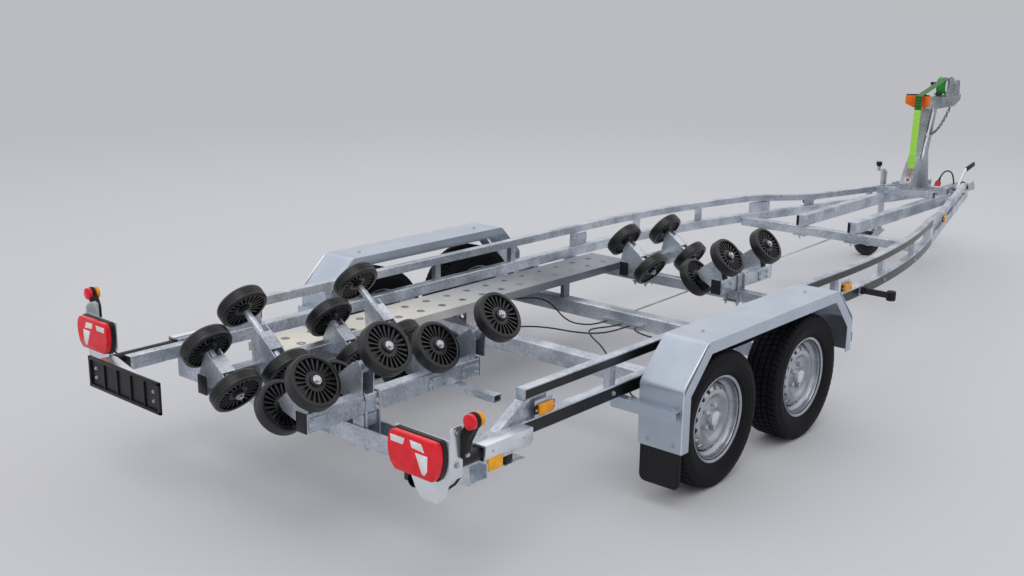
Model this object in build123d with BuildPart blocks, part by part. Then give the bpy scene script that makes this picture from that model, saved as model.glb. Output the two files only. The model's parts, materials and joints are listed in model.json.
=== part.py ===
"""Tandem-axle boat trailer with twelve roller pairs, parked on its jockey wheel.

Millimetres.  +X points forward to the coupling, +Y to the left, +Z up, and the floor is Z = 0.
The origin lies on the floor in the middle of the trailer's length and width.
Stations along X are given from the middle of the tandem and moved by TANDEM_X.
"""
from build123d import *
from math import atan, cos, degrees, radians, sin, sqrt, tan
import os

os.makedirs("parts", exist_ok=True)

# ---------------------------------------------------------------- driving dimensions
TAIL = 2130.0            # rear face of the number plate holder, behind the tandem
NOSE = 5520.0            # front of the coupling head, ahead of the tandem
TANDEM_X = (TAIL - NOSE) / 2

WHEELBASE = 766.0        # between the two axles
TYRE_R = 306.0
TYRE_W = 185.0
TYRE_OUT = 1150.0        # outer sidewall, from the centre line
RIM_R = 178.0            # 14 inch bead seat
RIM_FLANGE_R = 194.0
RIM_W = 140.0
WHEEL_Y = TYRE_OUT - TYRE_W / 2

RAIL_OUT = 900.0         # outer face of the side rails
LOW_W, LOW_H, LOW_TOP, LOW_WALL = 50.0, 60.0, 515.0, 4.0
UP_W, UP_H, UP_TOP, UP_WALL = 40.0, 45.0, 645.0, 3.0
LOW_BOTTOM = LOW_TOP - LOW_H
WELD_GAP = 0.5           # between the front cross member's ends and the rails
UP_BOTTOM = UP_TOP - UP_H
LOW_CORNER, UP_CORNER = 6.0, 5.0
UP_NOSE_DROP = 48.0      # how far the upper rail comes down towards the drawbar
BEND_X = 1240.0          # where the side rails begin to curve inward
BEND_R = 6800.0          # radius of that curve at the rails' outer face
LEG_TURN = 14.4          # degrees between the straight sides and the drawbar legs
LOW_REAR, LOW_FRONT = -1800.0, 5145.0
UP_REAR, UP_FRONT = -1400.0, 4960.0
DROP_FROM, DROP_TO = 2960.0, 3560.0

FENDER_OUT, FENDER_W, FENDER_T = 1185.0, 215.0, 3.0
FENDER_TOP = 700.0
FENDER_HALF = 750.0      # half of the fender's length
FENDER_FLAT = 585.0      # half of its flat top
FENDER_BEND_Z = 535.0
FENDER_REAR_Z, FENDER_FRONT_Z = 265.0, 370.0
FENDER_LIP = 50.0
FENDER_IN = FENDER_OUT - FENDER_W

BEAM_W, BEAM_H, BEAM_WALL = 60.0, 80.0, 4.0
ROLLER_R, ROLLER_W, ROLLER_TILT = 108.0, 57.0, 37.0
ROLLER_BORE, ROD_R = 11.0, 10.0

HEAD_Z = 500.0           # centre line of the coupling
BALL_R, BALL_CLEAR = 25.0, 0.5


def label_and_save(part, name):
    """Give a finished piece its name and write it."""
    part.label = name
    export_step(part, f"parts/{name}.step")


def rail_y(x, inset=0.0):
    """Distance from the centre line to a line `inset` inside the rails' outer face, at station x."""
    turn = radians(LEG_TURN)
    radius = BEND_R - inset
    bend_end = BEND_X + radius * sin(turn)
    if x <= BEND_X:
        return RAIL_OUT - inset
    if x <= bend_end:
        return RAIL_OUT - BEND_R + sqrt(radius ** 2 - (x - BEND_X) ** 2)
    return RAIL_OUT - BEND_R + radius * cos(turn) - (x - bend_end) * tan(turn)


def rail_angle(x):
    """Angle of the rails at station x, in degrees towards the centre line."""
    if x <= BEND_X:
        return 0.0
    return min(LEG_TURN, degrees(atan((x - BEND_X) / BEND_R)))


def rail_path(side, rear, front, inset, z):
    """Plan of a rail: straight, arc, straight leg."""
    turn = radians(LEG_TURN)
    radius = BEND_R - inset
    bend_end = BEND_X + radius * sin(turn)
    start = (TANDEM_X + rear, side * (RAIL_OUT - inset), z)
    tangent = (TANDEM_X + BEND_X, side * (RAIL_OUT - inset), z)
    mid_x = BEND_X + radius * sin(turn / 2)
    middle = (TANDEM_X + mid_x, side * rail_y(mid_x, inset), z)
    leave = (TANDEM_X + bend_end, side * rail_y(bend_end, inset), z)
    end = (TANDEM_X + front, side * rail_y(front, inset), z)
    return start, tangent, middle, leave, end


def tube_section(width, height, wall, corner):
    """Square tube section, drawn on the plane of the sketch that is open."""
    RectangleRounded(width, height, corner)
    RectangleRounded(width - 2 * wall, height - 2 * wall, max(corner - wall, 1.0), mode=Mode.SUBTRACT)


SIDES = (("left", 1), ("right", -1))

# ---------------------------------------------------------------- side rails
for side_name, side in SIDES:
    low_z = LOW_TOP - LOW_H / 2
    start, tangent, middle, leave, end = rail_path(side, LOW_REAR, LOW_FRONT, LOW_W / 2, low_z)
    with BuildPart() as lower_rail:
        with BuildLine():
            Line(start, tangent)
            ThreePointArc(tangent, middle, leave)
            Line(leave, end)
        with BuildSketch(Plane(origin=start, x_dir=(0, 1, 0), z_dir=(1, 0, 0))):
            tube_section(LOW_W, LOW_H, LOW_WALL, LOW_CORNER)
        sweep()
    label_and_save(lower_rail.part, f"lower_rail_{side_name}")

    start, tangent, middle, leave, end = rail_path(side, UP_REAR, UP_FRONT, UP_W / 2, UP_TOP - UP_H / 2)
    drop_start = (TANDEM_X + DROP_FROM, side * rail_y(DROP_FROM, UP_W / 2), start[2])
    drop_end = (TANDEM_X + DROP_TO, side * rail_y(DROP_TO, UP_W / 2), start[2] - UP_NOSE_DROP)
    end = (end[0], end[1], start[2] - UP_NOSE_DROP)
    with BuildPart() as upper_rail:
        with BuildLine():
            Line(start, tangent)
            ThreePointArc(tangent, middle, leave)
            Line(leave, drop_start)
            Line(drop_start, drop_end)
            Line(drop_end, end)
        with BuildSketch(Plane(origin=start, x_dir=(0, 1, 0), z_dir=(1, 0, 0))):
            tube_section(UP_W, UP_H, UP_WALL, UP_CORNER)
        sweep(transition=Transition.RIGHT)
    label_and_save(upper_rail.part, f"upper_rail_{side_name}")

# ---------------------------------------------------------------- posts between the rails
POST_X = (-840.0, -60.0, 570.0, 1165.0, 1810.0, 2440.0, 4240.0)
POST_L, POST_W = 40.0, 30.0
STRUT_FOOT = -1545.0      # where the rear strut lands on the lower rail
STRUT_L = 42.0
GUSSET_L, GUSSET_T = 150.0, 4.0
CAP_X, CAP_L, CAP_W = 2960.0, 170.0, 42.0


def upper_bottom(x):
    """Underside of the upper rail at station x."""
    along = min(max((x - DROP_FROM) / (DROP_TO - DROP_FROM), 0.0), 1.0)
    return UP_BOTTOM - UP_NOSE_DROP * along


def rail_plane(x, side, inset, z):
    """Plane at station x of a rail: x_dir along the rail, z_dir up."""
    turn = radians(rail_angle(x))
    origin = (TANDEM_X + x, side * rail_y(x, inset), z)
    return Plane(origin=origin, x_dir=(cos(turn), -side * sin(turn), 0), z_dir=(0, 0, 1))


for side_name, side in SIDES:
    with BuildPart() as rail_posts:
        for post_x in POST_X:
            with BuildSketch(rail_plane(post_x, side, UP_W / 2, LOW_TOP)):
                Rectangle(POST_L, POST_W)
            extrude(amount=upper_bottom(post_x) - LOW_TOP)
        strut_side = Plane.XZ.offset(-side * (RAIL_OUT - UP_W / 2))
        with BuildSketch(strut_side):
            with BuildLine():
                Polyline((TANDEM_X + UP_REAR, UP_BOTTOM), (TANDEM_X + UP_REAR + STRUT_L, UP_BOTTOM),
                         (TANDEM_X + STRUT_FOOT + STRUT_L, LOW_TOP), (TANDEM_X + STRUT_FOOT, LOW_TOP),
                         close=True)
            make_face()
        extrude(amount=UP_W / 2, both=True)
        with BuildSketch(strut_side):
            with BuildLine():
                Polyline((TANDEM_X + UP_REAR + STRUT_L, UP_BOTTOM),
                         (TANDEM_X + UP_REAR + GUSSET_L, UP_BOTTOM),
                         (TANDEM_X + UP_REAR + GUSSET_L, LOW_TOP), (TANDEM_X + STRUT_FOOT + STRUT_L, LOW_TOP),
                         close=True)
            make_face()
        extrude(amount=GUSSET_T / 2, both=True)
        with BuildSketch(rail_plane(CAP_X + CAP_L / 2, side, LOW_W / 2, LOW_TOP)):
            Rectangle(CAP_L, CAP_W)
        extrude(amount=upper_bottom(CAP_X + CAP_L) - LOW_TOP)
    label_and_save(rail_posts.part, f"rail_posts_{side_name}")

# ---------------------------------------------------------------- cross members
FRONT_X, FRONT_W, FRONT_H = 2870.0, 60.0, 60.0
FRONT_TOP = 498.0
MEMBER_WALL, MEMBER_CORNER = 4.0, 6.0
MIDDLE_X, MIDDLE_W, MIDDLE_H = 1125.0, 60.0, 60.0
CHANNEL_X, CHANNEL_W, CHANNEL_H, CHANNEL_T = -1650.0, 100.0, 75.0, 5.0
CHANNEL_TOP = 430.0
TIE_X, TIE_W, TIE_H, TIE_WALL, TIE_HALF = -1165.0, 42.0, 30.0, 3.0, 560.0
BEAM_Y = 310.0
REAR_BEAM = (-1970.0, -1035.0)
MID_BEAM = (915.0, 1470.0)
REAR_BEAM_Z, MID_BEAM_Z = 479.0, 463.0

with BuildPart() as cross_members:
    with BuildSketch(Plane.XZ.offset(-RAIL_OUT)):
        with Locations((TANDEM_X + FRONT_X, FRONT_TOP - FRONT_H / 2)):
            tube_section(FRONT_W, FRONT_H, MEMBER_WALL, MEMBER_CORNER)
    extrude(amount=2 * RAIL_OUT)
    for _, side in SIDES:
        turn = radians(rail_angle(FRONT_X))
        rail_face = Plane(origin=(TANDEM_X + FRONT_X, side * (rail_y(FRONT_X, LOW_W) - WELD_GAP), 0),
                          x_dir=(0, 0, 1), z_dir=(-sin(turn), -side * cos(turn), 0))
        split(bisect_by=rail_face, keep=Keep.TOP)
    with BuildSketch(Plane.XZ.offset(-RAIL_OUT)):
        with Locations((TANDEM_X + MIDDLE_X, LOW_BOTTOM - MIDDLE_H / 2)):
            tube_section(MIDDLE_W, MIDDLE_H, MEMBER_WALL, MEMBER_CORNER)
    extrude(amount=2 * RAIL_OUT)
    with BuildSketch(Plane.XZ.offset(-RAIL_OUT)):
        with Locations((TANDEM_X + CHANNEL_X, CHANNEL_TOP - CHANNEL_H / 2)):
            Rectangle(CHANNEL_W, CHANNEL_H)
            with Locations((0, CHANNEL_T)):
                Rectangle(CHANNEL_W - 2 * CHANNEL_T, CHANNEL_H, mode=Mode.SUBTRACT)
    extrude(amount=2 * RAIL_OUT)
    for _, side in SIDES:
        with BuildSketch(Plane.XY.offset(LOW_BOTTOM)):
            with Locations((TANDEM_X + CHANNEL_X, side * (RAIL_OUT - LOW_W / 2))):
                Rectangle(CHANNEL_W, LOW_W)
        extrude(amount=CHANNEL_TOP - LOW_BOTTOM)
    with BuildSketch(Plane.XZ.offset(-TIE_HALF)):
        with Locations((TANDEM_X + TIE_X, REAR_BEAM_Z - TIE_H / 2)):
            Rectangle(TIE_W, TIE_H)
            Rectangle(TIE_W - 2 * TIE_WALL, TIE_H - 2 * TIE_WALL, mode=Mode.SUBTRACT)
    extrude(amount=2 * TIE_HALF)
label_and_save(cross_members.part, "cross_members")

# ---------------------------------------------------------------- inner drawbar beams and winch channels
INNER_Y, INNER_W, INNER_H = 190.0, 60.0, 80.0
INNER_REAR, INNER_FRONT = 2835.0, 4500.0
WINCH_CHANNEL_X = (4150.0, 4420.0)
WINCH_CHANNEL_HALF, WINCH_CHANNEL_W, WINCH_CHANNEL_H, WINCH_CHANNEL_T = 220.0, 50.0, 50.0, 4.0
INNER_TOP = FRONT_TOP + INNER_H
DECK_TOP = INNER_TOP + WINCH_CHANNEL_H

with BuildPart() as drawbar_beams:
    with BuildSketch(Plane.YZ.offset(TANDEM_X + INNER_REAR)):
        with Locations((INNER_Y, FRONT_TOP + INNER_H / 2), (-INNER_Y, FRONT_TOP + INNER_H / 2)):
            tube_section(INNER_W, INNER_H, MEMBER_WALL, MEMBER_CORNER)
    extrude(amount=INNER_FRONT - INNER_REAR)
    for channel_x in WINCH_CHANNEL_X:
        with BuildSketch(Plane.XZ.offset(-WINCH_CHANNEL_HALF)):
            with Locations((TANDEM_X + channel_x, INNER_TOP + WINCH_CHANNEL_H / 2)):
                Rectangle(WINCH_CHANNEL_W, WINCH_CHANNEL_H)
                with Locations((0, -WINCH_CHANNEL_T)):
                    Rectangle(WINCH_CHANNEL_W - 2 * WINCH_CHANNEL_T, WINCH_CHANNEL_H, mode=Mode.SUBTRACT)
        extrude(amount=2 * WINCH_CHANNEL_HALF)
label_and_save(drawbar_beams.part, "drawbar_beams")

# ---------------------------------------------------------------- axles
AXLE_TUBE, AXLE_LEAD = 80.0, 75.0       # square tube, ahead of the wheel centre
AXLE_TOP, AXLE_CORNER = 410.0, 8.0
ARM_IN, ARM_T = 903.0, 24.0
ARM_BEAM_R, ARM_STUB_R = 34.0, 28.0     # arm's rounded ends
ARM_OUT = ARM_IN + ARM_T
PLATE_R, PLATE_T = 116.0, 6.0
STUB_R, STUB_PAST = 17.0, 20.0          # stub axle, past the middle of the tread
BRACKET_L, BRACKET_W = 110.0, 44.0

for axle_name, axle_x in (("front", WHEELBASE / 2), ("rear", -WHEELBASE / 2)):
    centre_x = TANDEM_X + axle_x
    beam_x = centre_x + AXLE_LEAD
    beam_z = AXLE_TOP - AXLE_TUBE / 2
    with BuildPart() as axle:
        with BuildSketch(Plane.XZ.offset(-ARM_IN)):
            with Locations((beam_x, beam_z)):
                RectangleRounded(AXLE_TUBE, AXLE_TUBE, AXLE_CORNER)
        extrude(amount=2 * ARM_IN)
        for side in (1, -1):
            arm_plane = Plane.XZ.offset(-side * ARM_IN)
            with BuildSketch(arm_plane):
                make_hull(Edge.make_circle(ARM_BEAM_R).moved(Location((beam_x, beam_z, 0))).edges()
                          + Edge.make_circle(ARM_STUB_R).moved(Location((centre_x, TYRE_R, 0))).edges())
            extrude(amount=-side * ARM_T)
            with BuildSketch(Plane.XZ.offset(-side * ARM_OUT)):
                with Locations((centre_x, TYRE_R)):
                    Circle(PLATE_R)
            extrude(amount=-side * PLATE_T)
            with BuildSketch(Plane.XZ.offset(-side * ARM_OUT)):
                with Locations((centre_x, TYRE_R)):
                    Circle(STUB_R)
            extrude(amount=-side * (WHEEL_Y + STUB_PAST - ARM_OUT))
            with BuildSketch(Plane.XY.offset(AXLE_TOP)):
                with Locations((beam_x, side * (RAIL_OUT - LOW_W / 2))):
                    Rectangle(BRACKET_L, BRACKET_W)
            extrude(amount=LOW_BOTTOM - AXLE_TOP)
    label_and_save(axle.part, f"axle_{axle_name}")

# ---------------------------------------------------------------- wheels
DRUM_R, DRUM_W, HUB_BARREL_R = 112.0, 75.0, 66.0
DRUM_IN = ARM_OUT + PLATE_T + 4 - WHEEL_Y       # drum's inner face, from the middle of the tread
RIM_T = 4.0
BARREL_R = RIM_R - RIM_T / 2
WELL_R = BARREL_R - 20
HUB_FACE = 30.0                 # bolting face, outside the middle of the rim
HUB_CAP_R, HUB_CAP_L = 33.0, 34.0
BORE_R = STUB_R + 0.5
VENT_COUNT, VENT_R, VENT_CIRCLE_R = 16, 9.0, 136.0
TREAD_HALF = 0.40 * TYRE_W
BEAD = RIM_W / 2 - RIM_T / 2

# sections of the wheel: radius, and distance outward from the middle of the tread
TREAD_EDGE, SHOULDER_MID = (TYRE_R - 3, TREAD_HALF), (TYRE_R - 9, TREAD_HALF + 9)
SHOULDER, SIDEWALL = (TYRE_R - 22, TREAD_HALF + 13), (RIM_FLANGE_R + 52, TYRE_W / 2)
TYRE_BEAD = (RIM_FLANGE_R + 3, BEAD)
RIM_LINE = ((RIM_FLANGE_R, RIM_W / 2), (BARREL_R, RIM_W / 2), (BARREL_R, 38), (WELL_R, 26), (WELL_R, -14),
            (BARREL_R, -34), (BARREL_R, -RIM_W / 2), (RIM_FLANGE_R, -RIM_W / 2))
DISC_LINE = ((WELL_R, 6), (WELL_R - 6, 26), (118, HUB_FACE + 18), (96, HUB_FACE + 18), (80, HUB_FACE + 3),
             (HUB_CAP_R - 6, HUB_FACE + 3))
HUB_OUTLINE = ((BORE_R, DRUM_IN), (DRUM_R, DRUM_IN), (DRUM_R, DRUM_IN + DRUM_W),
               (HUB_BARREL_R, DRUM_IN + DRUM_W + 12), (HUB_BARREL_R, HUB_FACE + 1), (HUB_CAP_R, HUB_FACE + 1),
               (HUB_CAP_R, HUB_FACE + HUB_CAP_L - 6), (HUB_CAP_R - 8, HUB_FACE + HUB_CAP_L),
               (0, HUB_FACE + HUB_CAP_L), (0, HUB_FACE - 5), (BORE_R, HUB_FACE - 5))

WHEELS = [(f"{end}_{side_name}", end_sign * WHEELBASE / 2, side)
          for end, end_sign in (("front", 1), ("rear", -1)) for side_name, side in SIDES]

for wheel_name, axle_x, side in WHEELS:
    # x of this plane is the radius, y runs outward along the axle from the middle of the tread
    radial = Plane(origin=(TANDEM_X + axle_x, side * WHEEL_Y, TYRE_R), x_dir=(1, 0, 0), z_dir=(0, 0, side))
    spin = Axis(radial.origin, (0, 1, 0))
    with BuildPart() as tyre:
        with BuildSketch(radial):
            with BuildLine():
                Line((TYRE_R, 0), TREAD_EDGE)
                ThreePointArc(TREAD_EDGE, SHOULDER_MID, SHOULDER)
                ThreePointArc(SHOULDER, SIDEWALL, TYRE_BEAD)
                Polyline(TYRE_BEAD, (RIM_R, BEAD), (RIM_R, 0))
                mirror(about=Plane.XZ)
            make_face()
        revolve(axis=spin)
    label_and_save(tyre.part, f"tyre_{wheel_name}")

    with BuildPart() as wheel:
        for line in (RIM_LINE, DISC_LINE):
            with BuildSketch(radial):
                with BuildLine():
                    Polyline(*line)
                trace(line_width=RIM_T)
            revolve(axis=spin)
        vent_plane = Plane(origin=radial.origin, x_dir=(1, 0, 0), z_dir=(0, side, 0))
        with BuildSketch(vent_plane):
            with PolarLocations(VENT_CIRCLE_R, VENT_COUNT):
                Circle(VENT_R)
        extrude(amount=RIM_W / 2, mode=Mode.SUBTRACT)
        with BuildSketch(radial):
            with BuildLine():
                Polyline(*HUB_OUTLINE, close=True)
            make_face()
        revolve(axis=spin)
    label_and_save(wheel.part, f"wheel_{wheel_name}")

# ---------------------------------------------------------------- fenders and mudflaps
FENDER_BEND_R = 40.0
SUPPORT_W, SUPPORT_H, SUPPORT_T = 40.0, 50.0, 4.0
SUPPORT_IN, SUPPORT_OUT = RAIL_OUT - LOW_W + 4, FENDER_OUT - 12
FLAP_T, FLAP_BOTTOM, FLAP_TOP = 6.0, 105.0, 330.0
FLAP_IN, FLAP_OUT = FENDER_IN + 12, FENDER_OUT - 6
FLAP_CORNER = 30.0

fender_line = ((-FENDER_HALF, FENDER_REAR_Z), (-FENDER_HALF, FENDER_BEND_Z), (-FENDER_FLAT, FENDER_TOP),
               (FENDER_FLAT, FENDER_TOP), (FENDER_HALF, FENDER_BEND_Z), (FENDER_HALF, FENDER_FRONT_Z))
lip_line = [(x * (1 - FENDER_LIP / 2 / FENDER_HALF),
             z if z in (FENDER_REAR_Z, FENDER_FRONT_Z) else z - FENDER_LIP / 2) for x, z in fender_line]

for side_name, side in SIDES:
    with BuildPart() as fender:
        outer_plane = Plane(origin=(TANDEM_X, side * FENDER_OUT, 0), x_dir=(1, 0, 0), z_dir=(0, -1, 0))
        inner_plane = Plane(origin=(TANDEM_X, side * FENDER_IN, 0), x_dir=(1, 0, 0), z_dir=(0, -1, 0))
        with BuildSketch(outer_plane):
            with BuildLine():
                FilletPolyline(*fender_line, radius=FENDER_BEND_R)
            trace(line_width=FENDER_T)
        extrude(amount=side * FENDER_W)
        for lip_plane, inward in ((outer_plane, side), (inner_plane, -side)):
            with BuildSketch(lip_plane):
                with BuildLine():
                    FilletPolyline(*lip_line, radius=FENDER_BEND_R)
                trace(line_width=FENDER_LIP)
            extrude(amount=inward * FENDER_T)
        for end_x in (-FENDER_HALF - SUPPORT_W - FENDER_T / 2, FENDER_HALF + FENDER_T / 2):
            with BuildSketch(Plane.XZ.offset(-side * SUPPORT_IN)):
                with Locations((TANDEM_X + end_x + SUPPORT_W / 2, LOW_BOTTOM - SUPPORT_H / 2)):
                    Rectangle(SUPPORT_W, SUPPORT_H)
                    with Locations((0, -SUPPORT_T)):
                        Rectangle(SUPPORT_W - 2 * SUPPORT_T, SUPPORT_H, mode=Mode.SUBTRACT)
            extrude(amount=-side * (SUPPORT_OUT - SUPPORT_IN))
    label_and_save(fender.part, f"fender_{side_name}")

with BuildPart() as mudflaps:
    with BuildSketch(Plane.YZ.offset(TANDEM_X - FENDER_HALF + FENDER_T / 2)):
        for _, side in SIDES:
            with Locations((side * (FLAP_IN + FLAP_OUT) / 2, (FLAP_BOTTOM + FLAP_TOP) / 2)):
                RectangleRounded(FLAP_OUT - FLAP_IN, FLAP_TOP - FLAP_BOTTOM, FLAP_CORNER)
    extrude(amount=FLAP_T)
label_and_save(mudflaps.part, "mudflaps")

# ---------------------------------------------------------------- roller beams and rollers
SHORT_HALF, LONG_HALF = 118.0, 180.0      # from the middle of a rod to the middle of each roller
ROD_COLLAR_R, BOSS_R = 16.0, 24.0
PLATE_GAP, ROLLER_PLATE_T = 60.0, 6.0
SADDLE_L = 90.0
ROD_PAST, COLLAR_SHORT = 8.0, 6.0         # rod past the roller's outer side, collar short of its inner side
EAR_TOP, EAR_FOOT = 22.0, 30.0            # ear's edge above the rod, and its foot above the beam's underside
EAR_REACH = {SHORT_HALF: (-76.0, 76.0), LONG_HALF: (-138.0, 44.0)}   # along the rod, inner and outer end
# one side of a roller: radius, and distance from the roller's middle
ROLLER_EDGE = ((ROLLER_BORE, ROLLER_W / 2 + 3), (26, ROLLER_W / 2 + 3), (30, ROLLER_W / 2 - 8),
               (ROLLER_R - 26, ROLLER_W / 2 - 8), (ROLLER_R - 18, ROLLER_W / 2), (ROLLER_R - 8, ROLLER_W / 2),
               (ROLLER_R, ROLLER_W / 2 - 9))
ROLLER_SECTION = tuple((r, -y) for r, y in ROLLER_EDGE) + ROLLER_EDGE[::-1]
# station of the pair, |y| and z of the middle of its rod, half spacing of the rollers
REAR_PAIRS = ((-1930.0, 238.0, 597.0, SHORT_HALF), (-1670.0, 296.0, 655.0, LONG_HALF),
              (-1290.0, 238.0, 590.0, SHORT_HALF), (-1035.0, 296.0, 648.0, LONG_HALF))
MID_PAIRS = ((955.0, 250.0, 596.0, SHORT_HALF), (1375.0, 250.0, 596.0, SHORT_HALF))

# beam's ends and underside, where its saddle stands and how high, and its pairs
BEAMS = (("rear", REAR_BEAM, REAR_BEAM_Z, CHANNEL_X, CHANNEL_TOP, REAR_PAIRS),
         ("middle", MID_BEAM, MID_BEAM_Z, MIDDLE_X, LOW_BOTTOM, MID_PAIRS))
tilt = radians(ROLLER_TILT)


def ear_outline(side, pair_y, pair_z, half, beam_z):
    """Outline of a rod's ear, in Y and Z, from the rod down to the beam's foot."""
    inner, outer = EAR_REACH[half]
    points = []
    for along, above in ((inner, -EAR_TOP), (inner, EAR_TOP), (outer, EAR_TOP), (outer, -EAR_TOP)):
        points.append((side * (pair_y + along * cos(tilt) - above * sin(tilt)),
                       pair_z + along * sin(tilt) + above * cos(tilt)))
    beam_in, beam_out = side * (BEAM_Y - BEAM_W / 2), side * (BEAM_Y + BEAM_W / 2)
    return points + [(beam_out, beam_z + BEAM_H), (beam_in, beam_z + BEAM_H), (beam_in, beam_z + EAR_FOOT)]


for beam_name, (beam_rear, beam_front), beam_z, saddle_x, saddle_z, pairs in BEAMS:
    for side_name, side in SIDES:
        with BuildPart() as roller_beam:
            with BuildSketch(Plane.YZ.offset(TANDEM_X + beam_rear)):
                with Locations((side * BEAM_Y, beam_z + BEAM_H / 2)):
                    tube_section(BEAM_W, BEAM_H, BEAM_WALL, MEMBER_CORNER)
            extrude(amount=beam_front - beam_rear)
            for pair_x, pair_y, pair_z, half in pairs:
                rod_dir = (0, side * cos(tilt), sin(tilt))
                rod_middle = (TANDEM_X + pair_x, side * pair_y, pair_z)
                rod_plane = Plane(origin=rod_middle, x_dir=(1, 0, 0), z_dir=rod_dir)
                with BuildSketch(rod_plane):
                    Circle(ROD_R)
                extrude(amount=half + ROLLER_W / 2 + ROD_PAST, both=True)
                with BuildSketch(rod_plane):
                    Circle(ROD_COLLAR_R)
                extrude(amount=half - ROLLER_W / 2 - COLLAR_SHORT, both=True)
                with BuildSketch(Plane.YZ.offset(TANDEM_X + pair_x)):
                    with Locations((side * pair_y, pair_z)):
                        Circle(BOSS_R)
                extrude(amount=PLATE_GAP / 2, both=True)
                for plate_x in (-PLATE_GAP / 2, PLATE_GAP / 2):
                    with BuildSketch(Plane.YZ.offset(TANDEM_X + pair_x + plate_x - ROLLER_PLATE_T / 2)):
                        with BuildLine():
                            Polyline(*ear_outline(side, pair_y, pair_z, half, beam_z), close=True)
                        make_face()
                    extrude(amount=ROLLER_PLATE_T)
            with BuildSketch(Plane.XY.offset(beam_z)):
                with Locations((TANDEM_X + saddle_x, side * BEAM_Y)):
                    Rectangle(SADDLE_L, BEAM_W)
            extrude(amount=saddle_z - beam_z)
        label_and_save(roller_beam.part, f"roller_beam_{beam_name}_{side_name}")
        for number, (pair_x, pair_y, pair_z, half) in enumerate(pairs, 1):
            along = (0, side * cos(tilt), sin(tilt))
            with BuildPart() as rollers:
                for shift in (-half, half):
                    centre = (TANDEM_X + pair_x, side * (pair_y + shift * cos(tilt)),
                              pair_z + shift * sin(tilt))
                    section = Plane(origin=centre, x_dir=(1, 0, 0), z_dir=(0, -side * sin(tilt), cos(tilt)))
                    with BuildSketch(section):
                        with BuildLine():
                            Polyline(*ROLLER_SECTION, close=True)
                        make_face()
                    revolve(axis=Axis(centre, along))
            label_and_save(rollers.part, f"rollers_{beam_name}_{side_name}_{number}")

# ---------------------------------------------------------------- walkway
WALK_REAR, WALK_FRONT = -1500.0, 1040.0
WALK_IN, WALK_OUT, WALK_TOP = 370.0, 640.0, 526.0
WALK_T, WALK_FLANGE = 3.0, 42.0
WALK_HOLE_R, WALK_HOLE_PITCH, WALK_ROW_GAP = 13.0, 150.0, 112.5
FOOT_L, FOOT_W = 50.0, 24.0

with BuildPart() as walkway:
    walk_width = WALK_OUT - WALK_IN
    with BuildSketch(Plane.YZ.offset(TANDEM_X + WALK_REAR)):
        with Locations(((WALK_IN + WALK_OUT) / 2, WALK_TOP - WALK_FLANGE / 2)):
            Rectangle(walk_width, WALK_FLANGE)
            with Locations((0, -WALK_T)):
                Rectangle(walk_width - 2 * WALK_T, WALK_FLANGE, mode=Mode.SUBTRACT)
    extrude(amount=WALK_FRONT - WALK_REAR)
    hole_count = int((WALK_FRONT - WALK_REAR) / WALK_HOLE_PITCH)
    with BuildSketch(Plane.XY.offset(WALK_TOP)):
        with Locations((TANDEM_X + (WALK_REAR + WALK_FRONT) / 2, (WALK_IN + WALK_OUT) / 2)):
            with GridLocations(WALK_HOLE_PITCH, WALK_ROW_GAP, hole_count, 2):
                RegularPolygon(WALK_HOLE_R, 8)
    extrude(amount=-WALK_T, mode=Mode.SUBTRACT)
    for axle_x in (WHEELBASE / 2, -WHEELBASE / 2):
        for foot_y in (WALK_IN + FOOT_W / 2, WALK_OUT - FOOT_W / 2):
            with BuildSketch(Plane.XY.offset(AXLE_TOP)):
                with Locations((TANDEM_X + axle_x + AXLE_LEAD, foot_y)):
                    Rectangle(FOOT_L, FOOT_W)
            extrude(amount=WALK_TOP - WALK_T - AXLE_TOP)
label_and_save(walkway.part, "walkway")

# ---------------------------------------------------------------- winch stand
STAND_HALF_W, STAND_T = 45.0, 5.0
STAND_REAR, STAND_FRONT = 4115.0, 4445.0       # its foot, on the two winch channels
ARM_LOW, ARM_TOP, ARM_FRONT = 1215.0, 1300.0, 4955.0
STAND_KNEE_Z = 900.0
STAND_LIP = 30.0                                # its foot's flange, outside the sheet

stand_outline = ((STAND_REAR, DECK_TOP), (STAND_FRONT, DECK_TOP), (STAND_FRONT, DECK_TOP + 60),
                 (4400, STAND_KNEE_Z), (4490, ARM_LOW), (4830, ARM_LOW), (ARM_FRONT, ARM_LOW + 47),
                 (ARM_FRONT, ARM_TOP), (4480, ARM_TOP), (4350, ARM_LOW + 10), (4270, STAND_KNEE_Z),
                 (4200, 800), (STAND_REAR, DECK_TOP + 40))
with BuildPart() as winch_post:
    with BuildSketch(Plane.XZ.offset(-STAND_HALF_W)):
        with BuildLine():
            Polyline(*[(TANDEM_X + x, z) for x, z in stand_outline], close=True)
        make_face()
    extrude(amount=2 * STAND_HALF_W)
    # the sheet is folded on the rear and the top, and open to the front
    with BuildSketch(Plane.XZ.offset(-STAND_HALF_W + STAND_T)):
        with BuildLine():
            Polyline(*[(TANDEM_X + x + STAND_T, z - STAND_T) for x, z in stand_outline], close=True)
        make_face()
    extrude(amount=2 * (STAND_HALF_W - STAND_T), mode=Mode.SUBTRACT)
    with BuildSketch(Plane.XY.offset(DECK_TOP)):
        with Locations((TANDEM_X + (STAND_REAR + STAND_FRONT) / 2, 0)):
            Rectangle(STAND_FRONT - STAND_REAR, 2 * (STAND_HALF_W + STAND_LIP))
            Rectangle(STAND_FRONT - STAND_REAR - 4 * STAND_LIP, 2 * (STAND_HALF_W - STAND_T),
                      mode=Mode.SUBTRACT)
    extrude(amount=STAND_T)
label_and_save(winch_post.part, "winch_post")

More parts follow.
